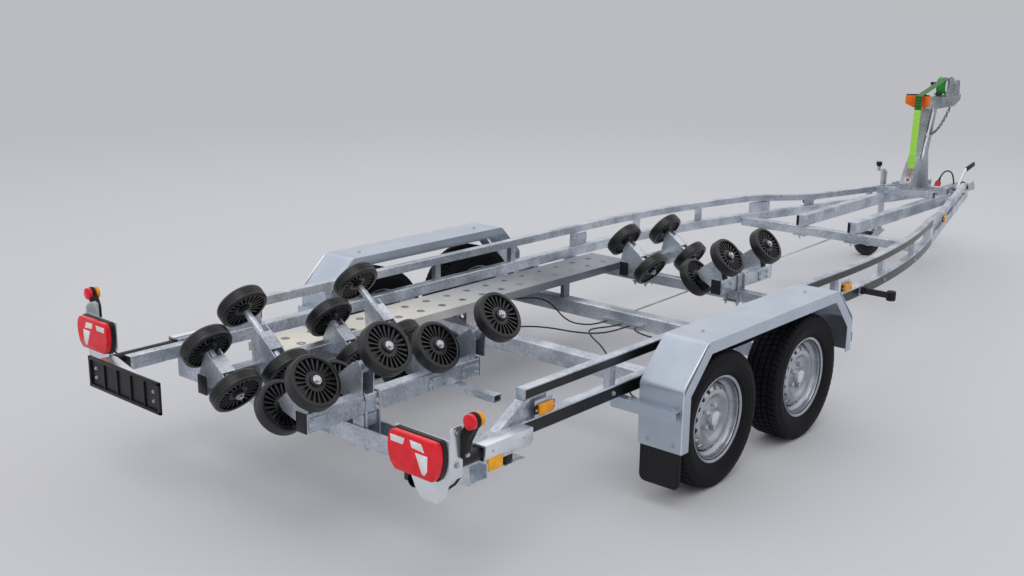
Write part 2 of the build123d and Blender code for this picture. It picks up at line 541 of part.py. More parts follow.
WINCH_X, WINCH_Z = 4700.0, ARM_TOP + 78
DRUM_HALF, DRUM_AXLE_R, WINCH_DRUM_R = 34.0, 14.0, 52.0
CHEEK_T = 4.0
GEAR_BOX_X, GEAR_BOX_L, GEAR_BOX_W, GEAR_BOX_H = 4870.0, 120.0, 80.0, 115.0
STRAP_W, STRAP_T = 50.0, 3.0
CRANK_R, CRANK_L, CRANK_T, CRANK_OUT = 8.0, 182.0, 6.0, 34.0
GRIP_R, GRIP_L, GRIP_IN = 14.0, 90.0, 38.0
# along from the drum's middle, and height above the arm
CHEEK_OUTLINE = ((-80, 0), (90, 0), (75, 128), (-30, 150), (-85, 88))
with BuildPart() as winch:
    for cheek in (-1, 1):
        with BuildSketch(Plane.XZ.offset(-cheek * DRUM_HALF)):
            with BuildLine():
                Polyline(*[(TANDEM_X + WINCH_X + x, ARM_TOP + z) for x, z in CHEEK_OUTLINE], close=True)
            make_face()
        extrude(amount=-cheek * CHEEK_T)
    with BuildSketch(Plane.XZ.offset(-DRUM_HALF)):
        with Locations((TANDEM_X + WINCH_X, WINCH_Z)):
            Circle(DRUM_AXLE_R)
    extrude(amount=2 * DRUM_HALF)
    with BuildSketch(Plane.XY.offset(ARM_TOP)):
        with Locations((TANDEM_X + GEAR_BOX_X, 0)):
            Rectangle(GEAR_BOX_L, GEAR_BOX_W)
    extrude(amount=GEAR_BOX_H)
    # crank on the left, with its grip
    crank_face = DRUM_HALF + CRANK_OUT
    with BuildSketch(Plane.XZ.offset(-DRUM_HALF)):
        with Locations((TANDEM_X + WINCH_X, WINCH_Z)):
            Circle(CRANK_R)
    extrude(amount=-CRANK_OUT - CRANK_T)
    with BuildSketch(Plane.XZ.offset(-crank_face)):
        with Locations((TANDEM_X + WINCH_X + CRANK_L / 2 - 18, WINCH_Z)):
            SlotOverall(CRANK_L, 2.4 * CRANK_R)
    extrude(amount=-CRANK_T)
    with BuildSketch(Plane.XZ.offset(-crank_face - CRANK_T)):
        with Locations((TANDEM_X + WINCH_X + CRANK_L - GRIP_IN, WINCH_Z)):
            Circle(GRIP_R)
    extrude(amount=-GRIP_L)
label_and_save(winch.part, "winch")

# ---------------------------------------------------------------- bow stop and winch strap
STOP_X, STOP_LOW, STOP_H = 4245.0, 1225.0, 105.0
STOP_HALF_W, STOP_T, STOP_V = 95.0, 24.0, 42.0
STOP_LUG_W, STOP_LUG_H, STOP_LUG_L = 40.0, 60.0, 62.0
with BuildPart() as bow_stop:
    with BuildSketch(Plane.XY.offset(STOP_LOW)):
        with BuildLine():
            Polyline((TANDEM_X + STOP_X - STOP_V, -STOP_HALF_W), (TANDEM_X + STOP_X + STOP_V, 0),
                     (TANDEM_X + STOP_X - STOP_V, STOP_HALF_W))
        trace(line_width=STOP_T)
    extrude(amount=STOP_H)
    with BuildSketch(Plane.YZ.offset(TANDEM_X + STOP_X + STOP_V)):
        with Locations((0, STOP_LOW + STOP_LUG_H / 2)):
            Rectangle(STOP_LUG_W, STOP_LUG_H)
    extrude(amount=STOP_LUG_L)
label_and_save(bow_stop.part, "bow_stop")

STRAP_STOP_X = STOP_X - 10
STRAP_FOOT_X, STRAP_FOOT_Z = 4108.0, 740.0
HOOK_W, HOOK_T, HOOK_GAP = 12.0, 10.0, 6.6     # hook bar, short of the stand by its gap
with BuildPart() as winch_strap:
    stop_top = STOP_LOW + STOP_H
    strap_line = ((WINCH_X - 36, WINCH_Z + 40), (STRAP_STOP_X - 10, stop_top + 8),
                  (STRAP_STOP_X - 65, stop_top - 2), (STRAP_STOP_X - 70, STOP_LOW),
                  (STRAP_FOOT_X, STRAP_FOOT_Z))
    with BuildSketch(Plane.XZ.offset(-STRAP_W / 2)):
        with BuildLine():
            Polyline(*[(TANDEM_X + x, z) for x, z in strap_line])
        trace(line_width=STRAP_T)
    extrude(amount=STRAP_W)
    with BuildSketch(Plane.XZ.offset(-STRAP_W / 2 + 2)):
        with Locations((TANDEM_X + WINCH_X, WINCH_Z)):
            Circle(WINCH_DRUM_R)
            Circle(DRUM_AXLE_R, mode=Mode.SUBTRACT)
    extrude(amount=STRAP_W - 4)
    # hook and ring down to the stand's foot
    with BuildSketch(Plane.XZ.offset(-HOOK_T / 2)):
        with BuildLine():
            Polyline((TANDEM_X + STRAP_FOOT_X, STRAP_FOOT_Z + 6),
                     (TANDEM_X + STAND_REAR - HOOK_GAP, DECK_TOP + 20))
        trace(line_width=HOOK_W)
    extrude(amount=HOOK_T)
label_and_save(winch_strap.part, "winch_strap")

# ---------------------------------------------------------------- jockey wheel
JOCKEY_X = 4500.0
JOCKEY_TUBE_R, JOCKEY_LEG_R = 24.0, 19.0
JOCKEY_Y = rail_y(JOCKEY_X) + 28 + JOCKEY_TUBE_R
JOCKEY_LOW, JOCKEY_TOP = 330.0, 680.0
JOCKEY_R, JOCKEY_W, JOCKEY_TRAIL = 100.0, 60.0, 90.0
JOCKEY_SWIVEL = 131.0            # where the castor trails, degrees from +X
FORK_T, FORK_GAP = 5.0, JOCKEY_W + 12
FORK_PIN_R = 8.0
CROWN_Z, CROWN_T, CROWN_L = 2 * JOCKEY_R + 14, 7.5, 68.0
LEG_LOW, LEG_TOP = CROWN_Z + 8, 560.0
SLIDE_CLEAR = 0.5
CAP_R, CAP_H = JOCKEY_TUBE_R + 2, 14.0
HANDLE_L, HANDLE_W, HANDLE_T, HANDLE_Z = 126.0, 16.0, 6.0, JOCKEY_TOP + 24
SPINDLE_R, KNOB_R, KNOB_L, KNOB_X = 8.0, 14.0, 70.0, 108.0
CLAMP_L, CLAMP_W, CLAMP_H, CLAMP_RISE = 70.0, 28.0, 18.0, 40.0
# one side of the wheel: radius, and distance from its middle
JOCKEY_EDGE = ((8.4, JOCKEY_W / 2 + 3), (22, JOCKEY_W / 2 + 3), (26, JOCKEY_W / 2 - 8),
               (60, JOCKEY_W / 2 - 8), (70, JOCKEY_W / 2), (JOCKEY_R - 14, JOCKEY_W / 2),
               (JOCKEY_R, JOCKEY_W / 2 - 14))
JOCKEY_SECTION = tuple((r, -y) for r, y in JOCKEY_EDGE) + JOCKEY_EDGE[::-1]
# cheek of the fork: along the trail from the wheel's axle, and height above it
FORK_OUTLINE = ((-16, -16), (16, -16), (16, 30), (34 - JOCKEY_TRAIL, JOCKEY_R + 18),
                (-JOCKEY_TRAIL - 34, JOCKEY_R + 18), (-16, 0))

swivel = radians(JOCKEY_SWIVEL)
jockey_x = TANDEM_X + JOCKEY_X
trail_dir = (cos(swivel), sin(swivel), 0)
wheel_axis = (sin(swivel), -cos(swivel), 0)
hub = (jockey_x + JOCKEY_TRAIL * cos(swivel), JOCKEY_Y + JOCKEY_TRAIL * sin(swivel), JOCKEY_R)

with BuildPart() as jockey_tube:
    with BuildSketch(Plane.XY.offset(JOCKEY_LOW)):
        with Locations((jockey_x, JOCKEY_Y)):
            Circle(JOCKEY_TUBE_R)
            Circle(JOCKEY_LEG_R + SLIDE_CLEAR, mode=Mode.SUBTRACT)
    extrude(amount=JOCKEY_TOP - JOCKEY_LOW)
    for radius, low, high in ((CAP_R, JOCKEY_TOP, JOCKEY_TOP + CAP_H),
                              (SPINDLE_R, JOCKEY_TOP + CAP_H, HANDLE_Z + HANDLE_T)):
        with BuildSketch(Plane.XY.offset(low)):
            with Locations((jockey_x, JOCKEY_Y)):
                Circle(radius)
        extrude(amount=high - low)
    with BuildSketch(Plane.XY.offset(HANDLE_Z)):
        with Locations((jockey_x + 8 - HANDLE_L / 2, JOCKEY_Y)):
            Rectangle(HANDLE_L, HANDLE_W)
    extrude(amount=HANDLE_T)
    with BuildSketch(Plane.XY.offset(HANDLE_Z + HANDLE_T)):
        with Locations((jockey_x - KNOB_X, JOCKEY_Y)):
            Circle(KNOB_R)
    extrude(amount=KNOB_L)
    clamp_plane = rail_plane(JOCKEY_X, 1, -CLAMP_W / 2, LOW_BOTTOM + 2)
    for level in (0, CLAMP_RISE):
        with BuildSketch(clamp_plane.offset(level)):
            Rectangle(CLAMP_L, CLAMP_W)
        extrude(amount=CLAMP_H)
label_and_save(jockey_tube.part, "jockey_tube")

with BuildPart() as jockey_leg:
    with BuildSketch(Plane.XY.offset(LEG_LOW)):
        with Locations((jockey_x, JOCKEY_Y)):
            Circle(JOCKEY_LEG_R)
    extrude(amount=LEG_TOP - LEG_LOW)
label_and_save(jockey_leg.part, "jockey_leg")

fork_plane = Plane(origin=hub, x_dir=trail_dir, z_dir=wheel_axis)
with BuildPart() as jockey_fork:
    for cheek in (-1, 1):
        with BuildSketch(fork_plane.offset(cheek * (FORK_GAP / 2 + FORK_T / 2) - FORK_T / 2)):
            with BuildLine():
                Polyline(*FORK_OUTLINE, close=True)
            make_face()
        extrude(amount=FORK_T)
    with BuildSketch(fork_plane):
        Circle(FORK_PIN_R)
    extrude(amount=FORK_GAP / 2 + FORK_T + 6, both=True)
    with BuildSketch(Plane(origin=(jockey_x, JOCKEY_Y, CROWN_Z), x_dir=trail_dir, z_dir=(0, 0, 1))):
        Rectangle(CROWN_L, FORK_GAP + 2 * FORK_T)
    extrude(amount=CROWN_T)
label_and_save(jockey_fork.part, "jockey_fork")

with BuildPart() as jockey_wheel:
    with BuildSketch(Plane(origin=hub, x_dir=trail_dir, z_dir=(0, 0, 1))):
        with BuildLine():
            Polyline(*JOCKEY_SECTION, close=True)
        make_face()
    revolve(axis=Axis(hub, wheel_axis))
label_and_save(jockey_wheel.part, "jockey_wheel")

# ---------------------------------------------------------------- coupling
HOUSING_REAR, HOUSING_FRONT = 4880.0, 5180.0
HOUSING_W, HOUSING_H, HOUSING_CORNER = 68.0, 110.0, 14.0
HOUSING_TOP = HEAD_Z + HOUSING_H / 2
FLANGE_R, FLANGE_L = 58.0, 30.0
BELLOWS_FRONT = 5335.0
HEAD_BALL_X = NOSE - 62
SHAFT_R = 25.0
HOUSING_PLATES = (4920.0, 5090.0)
HOUSING_PLATE_L, HOUSING_PLATE_T, HOUSING_PLATE_IN = 50.0, 8.0, 4.0
PLUG_TOP = Vector(TANDEM_X + 4815, 1, 636)        # where the lead enters its plug
PLUG_LOW = Vector(TANDEM_X + 4735, 0, 545)        # the plug's face, in its parking socket
PLUG_R = 24.0
SOCKET_R, SOCKET_L, SOCKET_REAR, SOCKET_HALF_W = 27.0, 28.0, 4690.0, 24.0

plug_axis = (PLUG_LOW - PLUG_TOP).normalized()
plug_plane = Plane(origin=PLUG_TOP, x_dir=(0, 1, 0), z_dir=plug_axis)
plug_length = (PLUG_LOW - PLUG_TOP).length
with BuildPart() as overrun_housing:
    with BuildSketch(Plane.YZ.offset(TANDEM_X + HOUSING_REAR)):
        with Locations((0, HEAD_Z)):
            RectangleRounded(HOUSING_W, HOUSING_H, HOUSING_CORNER)
    extrude(amount=HOUSING_FRONT - HOUSING_REAR)
    with BuildSketch(Plane.YZ.offset(TANDEM_X + HOUSING_FRONT - FLANGE_L)):
        with Locations((0, HEAD_Z)):
            Circle(FLANGE_R)
    extrude(amount=FLANGE_L)
    with BuildSketch(Plane.YZ.offset(TANDEM_X + HOUSING_FRONT)):
        with Locations((0, HEAD_Z)):
            Circle(SHAFT_R)
    extrude(amount=BELLOWS_FRONT - HOUSING_FRONT)
    with BuildSketch(Plane.XY.offset(LOW_TOP)):
        for plate_x in HOUSING_PLATES:
            with Locations((TANDEM_X + plate_x, 0)):
                Rectangle(HOUSING_PLATE_L, 2 * rail_y(plate_x + HOUSING_PLATE_L / 2, HOUSING_PLATE_IN))
    extrude(amount=HOUSING_PLATE_T)
    # strip and socket in which the lead's plug is parked
    with BuildSketch(Plane.XY.offset(LOW_TOP)):
        with Locations((TANDEM_X + (SOCKET_REAR + HOUSING_REAR) / 2, 0)):
            Rectangle(HOUSING_REAR - SOCKET_REAR + 10, 2 * SOCKET_HALF_W)
    extrude(amount=HOUSING_PLATE_T)
    with BuildSketch(plug_plane.offset(plug_length)):
        Circle(SOCKET_R)
    extrude(amount=SOCKET_L)
label_and_save(overrun_housing.part, "overrun_housing")

BELLOWS_R, BELLOWS_VALLEY_R, BELLOWS_FOLDS = 52.0, 38.0, 6
with BuildPart() as bellows:
    with BuildSketch(Plane(origin=(TANDEM_X + HOUSING_FRONT, 0, HEAD_Z), x_dir=(1, 0, 0), z_dir=(0, -1, 0))):
        pitch = (BELLOWS_FRONT - HOUSING_FRONT) / BELLOWS_FOLDS
        folds = [(0, BELLOWS_VALLEY_R)]
        for fold in range(BELLOWS_FOLDS):
            folds += [((fold + 0.5) * pitch, BELLOWS_R), ((fold + 1) * pitch, BELLOWS_VALLEY_R)]
        with BuildLine():
            Polyline((0, SHAFT_R), *folds, (BELLOWS_FRONT - HOUSING_FRONT, SHAFT_R), close=True)
        make_face()
    revolve(axis=Axis((TANDEM_X, 0, HEAD_Z), (1, 0, 0)))
label_and_save(bellows.part, "bellows")

HEAD_HALF_W, HEAD_LOW, SOCKET_DEPTH = 34.0, HEAD_Z - 34, 46.0
# station, and height from the coupling's centre line
HEAD_OUTLINE = ((BELLOWS_FRONT, -34), (BELLOWS_FRONT, 34), (HEAD_BALL_X - 40, 30), (HEAD_BALL_X, 44),
                (HEAD_BALL_X + 38, 30), (NOSE, -8), (NOSE, -34))
with BuildPart() as coupling_head:
    with BuildSketch(Plane.XZ.offset(-HEAD_HALF_W)):
        with BuildLine():
            Polyline(*[(TANDEM_X + x, HEAD_Z + z) for x, z in HEAD_OUTLINE], close=True)
        make_face()
    extrude(amount=2 * HEAD_HALF_W)
    with BuildSketch(Plane.XY.offset(HEAD_LOW)):
        with Locations((TANDEM_X + HEAD_BALL_X, 0)):
            Circle(BALL_R + BALL_CLEAR)
    extrude(amount=SOCKET_DEPTH, mode=Mode.SUBTRACT)
label_and_save(coupling_head.part, "coupling_head")

LEVER_Y, LEVER_T = -HOUSING_W / 2, 14.0
lever_outline = ((5085, 23), (5135, 23), (5148, 66), (5270, 150), (5430, 178), (5425, 206), (5250, 176))
with BuildPart() as handbrake_lever:
    with BuildSketch(Plane.XZ.offset(-LEVER_Y)):
        with BuildLine():
            Polyline(*[(TANDEM_X + x, HEAD_Z + above) for x, above in lever_outline], close=True)
        make_face()
    extrude(amount=LEVER_T)
label_and_save(handbrake_lever.part, "handbrake_lever")

# ---------------------------------------------------------------- cables that the trailer holds


def cord_tube(route, diameter):
    """Tube along a route: straight runs joined by arcs as large as the runs allow."""
    points = [Vector(TANDEM_X + x, y, z) for x, y, z in route]
    radii = []
    for before, corner, after in zip(points, points[1:], points[2:]):
        runs = corner - before, after - corner
        half_turn = radians(runs[0].get_angle(runs[1])) / 2
        radii.append(0.45 * min(run.length for run in runs) / tan(half_turn))
    with BuildLine() as line:
        FilletPolyline(*points, radius=radii)
    with BuildSketch(Plane(origin=points[0], z_dir=line.line % 0)) as section:
        Circle(diameter / 2)
    return sweep(section.sketch, path=line.line)


CABLE_D = 8.0
END_GAP = 0.7                                     # between a cable's end and what it enters
PLATE_FACE = ARM_OUT - END_GAP
CABLE_BLOCK_X, CABLE_BLOCK_Z = 388.0, 350.0       # where the brake cables meet, behind the front axle beam
CABLE_END_X = CABLE_BLOCK_X - END_GAP
BRAKE_CABLES = (
    ((310, PLATE_FACE, 330), (306, 865, 336), (304, 790, 348), (312, 700, 362), (345, 615, 378),
     (396, 530, 388), (392, 440, 380), (340, 345, 366), (275, 250, 356), (232, 150, 350), (260, 70, 349),
     (325, 42, 350), (CABLE_END_X, 40, CABLE_BLOCK_Z)),
    ((-456, PLATE_FACE, 330), (-460, 865, 326), (-462, 790, 318), (-440, 710, 308), (-380, 640, 300),
     (-300, 590, 298), (-215, 535, 304), (-140, 470, 316), (-75, 400, 330), (-10, 340, 342), (48, 255, 348),
     (82, 160, 350), (98, 60, 350), (130, -30, 350), (200, -85, 349), (290, -102, 349), (345, -105, 350),
     (CABLE_END_X, -106, CABLE_BLOCK_Z)),
    ((CABLE_END_X, -55, CABLE_BLOCK_Z), (345, -54, 352), (280, -50, 358), (205, -40, 366), (135, -38, 371),
     (85, -75, 370), (40, -140, 362), (0, -215, 354), (-60, -290, 345), (-125, -380, 332), (-190, -465, 316),
     (-255, -545, 302), (-325, -620, 297), (-395, -690, 303), (-445, -770, 318), (-458, -850, 327),
     (-456, -PLATE_FACE, 330)),
    ((310, -PLATE_FACE, 330), (307, -865, 334), (303, -790, 340), (308, -700, 346), (322, -600, 349),
     (333, -500, 347), (330, -400, 343), (322, -305, 342), (330, -225, 345), (352, -165, 349),
     (CABLE_END_X, -150, CABLE_BLOCK_Z)),
)
with BuildPart() as brake_cables:
    for route in BRAKE_CABLES:
        add(cord_tube(route, CABLE_D))
label_and_save(brake_cables.part, "brake_cables")

LEAD_D = 12.0
LEAD_ROUTE = ((5125, 0, HOUSING_TOP + END_GAP), (5122, 4, 590), (5100, 6, 630), (5050, 4, 660),
              (4980, 0, 678), (4905, -2, 682), (4850, 0, 665), (PLUG_TOP.X - TANDEM_X, PLUG_TOP.Y, PLUG_TOP.Z))
with BuildPart() as trailer_lead:
    add(cord_tube(LEAD_ROUTE, LEAD_D))
    across = plug_axis.cross(Vector(0, 1, 0)).normalized()
    with BuildSketch(Plane(origin=PLUG_TOP, x_dir=across, z_dir=across.cross(plug_axis))):
        with BuildLine():
            Polyline((0, 0), (LEAD_D / 2 + 2, 0), (LEAD_D / 2 + 5, 30), (PLUG_R - 2, 38), (PLUG_R, 46),
                     (PLUG_R, plug_length - 8), (PLUG_R - 4, plug_length), (0, plug_length), close=True)
        make_face()
    revolve(axis=Axis(PLUG_TOP, plug_axis))
label_and_save(trailer_lead.part, "trailer_lead")

ROD_D = 10.0
ROD_REAR = Vector(TANDEM_X + 516, 0, 372)
ROD_FRONT = Vector(TANDEM_X + 4866, 0, 462)
CLEVIS_L, CLEVIS_W, CLEVIS_H = 20.0, 28.0, 34.0
CABLE_BLOCK_W, CABLE_BLOCK_H, CABLE_BLOCK_Y = 250.0, 30.0, -55.0
beam_rear = WHEELBASE / 2 + AXLE_LEAD - AXLE_TUBE / 2
beam_front = beam_rear + AXLE_TUBE
with BuildPart() as brake_rod:
    with BuildSketch(Plane(origin=ROD_REAR, z_dir=ROD_FRONT - ROD_REAR)):
        Circle(ROD_D / 2)
    extrude(amount=(ROD_FRONT - ROD_REAR).length)
    for clevis_x, clevis_z in ((beam_front, ROD_REAR.Z), (HOUSING_REAR - CLEVIS_L, ROD_FRONT.Z)):
        with BuildSketch(Plane.YZ.offset(TANDEM_X + clevis_x)):
            with Locations((0, clevis_z)):
                Rectangle(CLEVIS_W, CLEVIS_H)
        extrude(amount=CLEVIS_L)
    with BuildSketch(Plane.YZ.offset(TANDEM_X + beam_rear)):
        with Locations((CABLE_BLOCK_Y, CABLE_BLOCK_Z)):
            Rectangle(CABLE_BLOCK_W, CABLE_BLOCK_H)
    extrude(amount=CABLE_BLOCK_X - beam_rear)
label_and_save(brake_rod.part, "brake_rod")

# ---------------------------------------------------------------- rear lamps on sliding carriers
SLEEVE_Y, SLEEVE_Z, SLEEVE_W, SLEEVE_H, SLEEVE_L = 936.0, 490.0, 72.0, 66.0, 380.0
CARRIER_R, CARRIER_WALL, CARRIER_CLEAR = 25.0, 3.0, 0.6
CARRIER_REAR, CARRIER_FRONT = -2012.0, -1470.0
COVER_T, COVER_H, COVER_W = 4.0, 48.0, 44.0
LAMP_Y, LAMP_Z, LAMP_W, LAMP_H, LAMP_D = 985.0, 605.0, 240.0, 145.0, 45.0
LAMP_CORNER = 12.0
LAMP_TOP_IN, LAMP_LOW_IN, LAMP_BULGE_Z = 14.0, 26.0, 10.0      # outline's corners and its bulging sides
PLATE_BACK_T = 4.0
SIDE_PLATE_Y = LAMP_Y + LAMP_W / 2 + 4
SIDE_PLATE_L = 60.0
BOARD_LOW = 440.0
MARKER_X, MARKER_Y, MARKER_Z = -1950.0, 1156.0, 742.0
MARKER_R, MARKER_L = 28.0, 56.0
ARM_W = 30.0
with BuildPart() as lamp_sleeves:
    for _, side in SIDES:
        with BuildSketch(Plane.YZ.offset(TANDEM_X + LOW_REAR)):
            with Locations((side * SLEEVE_Y, SLEEVE_Z)):
                Rectangle(SLEEVE_W, SLEEVE_H)
                Circle(CARRIER_R + CARRIER_CLEAR, mode=Mode.SUBTRACT)
            # angle cover over the outer top corner
            cover_y, cover_z = SLEEVE_Y + SLEEVE_W / 2 + COVER_T / 2, SLEEVE_Z + SLEEVE_H / 2 + COVER_T / 2
            with BuildLine():
                Polyline((side * cover_y, cover_z - COVER_H), (side * cover_y, cover_z),
                         (side * (cover_y - COVER_W), cover_z))
            trace(line_width=COVER_T)
        extrude(amount=SLEEVE_L)
label_and_save(lamp_sleeves.part, "lamp_sleeves")

for side_name, side in SIDES:
    with BuildPart() as lamp_carrier:
        with BuildSketch(Plane.YZ.offset(TANDEM_X + CARRIER_REAR)):
            with Locations((side * SLEEVE_Y, SLEEVE_Z)):
                Circle(CARRIER_R)
                Circle(CARRIER_R - CARRIER_WALL, mode=Mode.SUBTRACT)
        extrude(amount=CARRIER_FRONT - CARRIER_REAR)
        with BuildSketch(Plane.YZ.offset(TANDEM_X + CARRIER_REAR - PLATE_BACK_T)):
            with Locations((side * LAMP_Y, (LAMP_Z + LAMP_H / 2 + BOARD_LOW) / 2)):
                Rectangle(LAMP_W + 8, LAMP_Z + LAMP_H / 2 - BOARD_LOW)
        extrude(amount=PLATE_BACK_T)
        with BuildSketch(Plane.XZ.offset(-side * SIDE_PLATE_Y)):
            with Locations((TANDEM_X + CARRIER_REAR + SIDE_PLATE_L / 2, LAMP_Z + 20)):
                Rectangle(SIDE_PLATE_L, LAMP_H + 40)
        extrude(amount=side * PLATE_BACK_T)
    label_and_save(lamp_carrier.part, f"lamp_carrier_{side_name}")

    with BuildPart() as lamps:
        half_w, half_h = LAMP_W / 2, LAMP_H / 2
        top_right, low_right = (half_w - LAMP_TOP_IN, half_h), (half_w - LAMP_LOW_IN, -half_h)
        top_left, low_left = (-top_right[0], half_h), (-low_right[0], -half_h)
        lamp_face = (TANDEM_X + CARRIER_REAR - PLATE_BACK_T, side * LAMP_Y, LAMP_Z)
        with BuildSketch(Plane(origin=lamp_face, x_dir=(0, 1, 0), z_dir=(1, 0, 0))) as lens:
            with BuildLine():
                Line(top_right, top_left)
                ThreePointArc(top_left, (-half_w, LAMP_BULGE_Z), low_left)
                Line(low_left, low_right)
                ThreePointArc(low_right, (half_w, LAMP_BULGE_Z), top_right)
            make_face()
            fillet(lens.vertices(), LAMP_CORNER)
        extrude(amount=-LAMP_D)
        # rubber arm up from the side plate, with its round marker
        with BuildSketch(Plane.YZ.offset(TANDEM_X + MARKER_X - ARM_W / 2)):
            with BuildLine():
                Polyline((side * SIDE_PLATE_Y, LAMP_Z - 2), (side * (SIDE_PLATE_Y + 20), LAMP_Z - 2),
                         (side * (SIDE_PLATE_Y + 26), LAMP_Z + 60), (side * (MARKER_Y + 14), MARKER_Z - 12),
                         (side * (MARKER_Y - 14), MARKER_Z + 12), (side * SIDE_PLATE_Y, LAMP_Z + 78),
                         close=True)
            make_face()
        extrude(amount=ARM_W)
        with BuildSketch(Plane.YZ.offset(TANDEM_X + MARKER_X - MARKER_L / 2)):
            with Locations((side * MARKER_Y, MARKER_Z)):
                Circle(MARKER_R)
        extrude(amount=MARKER_L)
    label_and_save(lamps.part, f"lamps_{side_name}")

PLATE_W, PLATE_H, PLATE_Y, PLATE_Z = 530.0, 136.0, 642.0, 480.0
PLATE_FRAME_T, PLATE_RIB, PLATE_RIM = 12.0, 10.0, 14.0
PLATE_RIB_Y = (-150.0, -50.0, 50.0, 150.0)
SHEET_Y, SHEET_T = 900.0, 4.0           # inner edge of the lamp's back plate, and the bracket's sheet
SHEET_REACH, SHEET_W, SHEET_Z = 470.0, 34.0, 520.0
with BuildPart() as plate_holder:
    with BuildSketch(Plane.YZ.offset(TANDEM_X - TAIL)):
        with Locations((PLATE_Y, PLATE_Z)):
            RectangleRounded(PLATE_W, PLATE_H, 8)
            RectangleRounded(PLATE_W - 2 * PLATE_RIM, PLATE_H - 2 * PLATE_RIM, 4, mode=Mode.SUBTRACT)
            with Locations(*[(rib_y, 0) for rib_y in PLATE_RIB_Y]):
                Rectangle(PLATE_RIB, PLATE_H - PLATE_RIM)
    extrude(amount=PLATE_FRAME_T)
    holder_front = TANDEM_X - TAIL + PLATE_FRAME_T
    carrier_face = TANDEM_X + CARRIER_REAR - PLATE_BACK_T
    with BuildSketch(Plane.XY.offset(SHEET_Z)):
        with BuildLine():
            Polyline((holder_front, SHEET_Y), (holder_front, SHEET_Y - SHEET_REACH),
                     (carrier_face, SHEET_Y - SHEET_W), (carrier_face, SHEET_Y), close=True)
        make_face()
    extrude(amount=SHEET_T)
label_and_save(plate_holder.part, "plate_holder")

# ---------------------------------------------------------------- side markers and position lamps
TAB_X = (-1285.0, 1265.0, 3590.0)
TAB_L, TAB_T, TAB_TOP = 104.0, 4.0, 582.0
LENS_L, LENS_H, LENS_D, LENS_LOW = 92.0, 38.0, 18.0, LOW_TOP + 12
REFLECTOR_L, REFLECTOR_H, REFLECTOR_T = 76.0, 46.0, 6.0
POSITION_X, POSITION_PLATE_L, POSITION_PLATE_H = 1470.0, 60.0, 52.0
POSITION_ARM_L, POSITION_ARM_W, POSITION_ARM_H = 200.0, 28.0, 36.0
POSITION_R, POSITION_H = 27.0, 56.0
POSITION_BLOCK, POSITION_Z = 18.0, LOW_TOP - 26
with BuildPart() as side_markers:
    for _, side in SIDES:
        for tab_x in TAB_X:
            top = min(TAB_TOP, upper_bottom(tab_x))
            with BuildSketch(rail_plane(tab_x, side, TAB_T / 2, LOW_TOP)):
                Rectangle(TAB_L, TAB_T)
            extrude(amount=top - LOW_TOP)
            with BuildSketch(rail_plane(tab_x, side, -LENS_D / 2, LENS_LOW)):
                Rectangle(LENS_L, LENS_D)
            extrude(amount=LENS_H)
        with BuildSketch(Plane.XY.offset(SLEEVE_Z - SLEEVE_H / 2 - REFLECTOR_H)):
            reflector_y = SLEEVE_Y + SLEEVE_W / 2 - REFLECTOR_T / 2
            with Locations((TANDEM_X + LOW_REAR + REFLECTOR_L / 2, side * reflector_y)):
                Rectangle(REFLECTOR_L, REFLECTOR_T)
        extrude(amount=REFLECTOR_H)
        # front position lamp on its rubber arm
        with BuildSketch(rail_plane(POSITION_X, side, -TAB_T / 2, LOW_TOP - POSITION_PLATE_H)):
            Rectangle(POSITION_PLATE_L, TAB_T)
        extrude(amount=POSITION_PLATE_H)
        block_inset, block_low = -TAB_T - POSITION_BLOCK / 2, POSITION_Z - POSITION_ARM_H / 2
        with BuildSketch(rail_plane(POSITION_X, side, block_inset, block_low)):
            Rectangle(POSITION_ARM_W, POSITION_BLOCK)
        extrude(amount=POSITION_ARM_H)
        foot = Vector(TANDEM_X + POSITION_X, side * (rail_y(POSITION_X) + POSITION_BLOCK), POSITION_Z)
        reach = Vector(0.88, side * 0.42, -0.24).normalized()
        with BuildSketch(Plane(origin=foot, x_dir=(0, 0, 1), z_dir=reach)):
            Rectangle(POSITION_ARM_H, POSITION_ARM_W)
        extrude(amount=POSITION_ARM_L)
        with BuildSketch(Plane(origin=foot + reach * POSITION_ARM_L, x_dir=(1, 0, 0), z_dir=(0, 0, 1))):
            Circle(POSITION_R)
        extrude(amount=POSITION_H / 2, both=True)
label_and_save(side_markers.part, "side_markers")
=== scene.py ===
"""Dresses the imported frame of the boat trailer: finishes, tyres, rollers, lamps, cables and fastenings.

Metres, in the frame's own axes: +X forward to the coupling, +Y left, +Z up.
Stations along X are given from the middle of the tandem and moved by TANDEM_X.
"""
import json
from math import atan, atan2, cos, hypot, pi, radians, sin, sqrt, tan

import bmesh
import bpy
from mathutils import Matrix, Vector


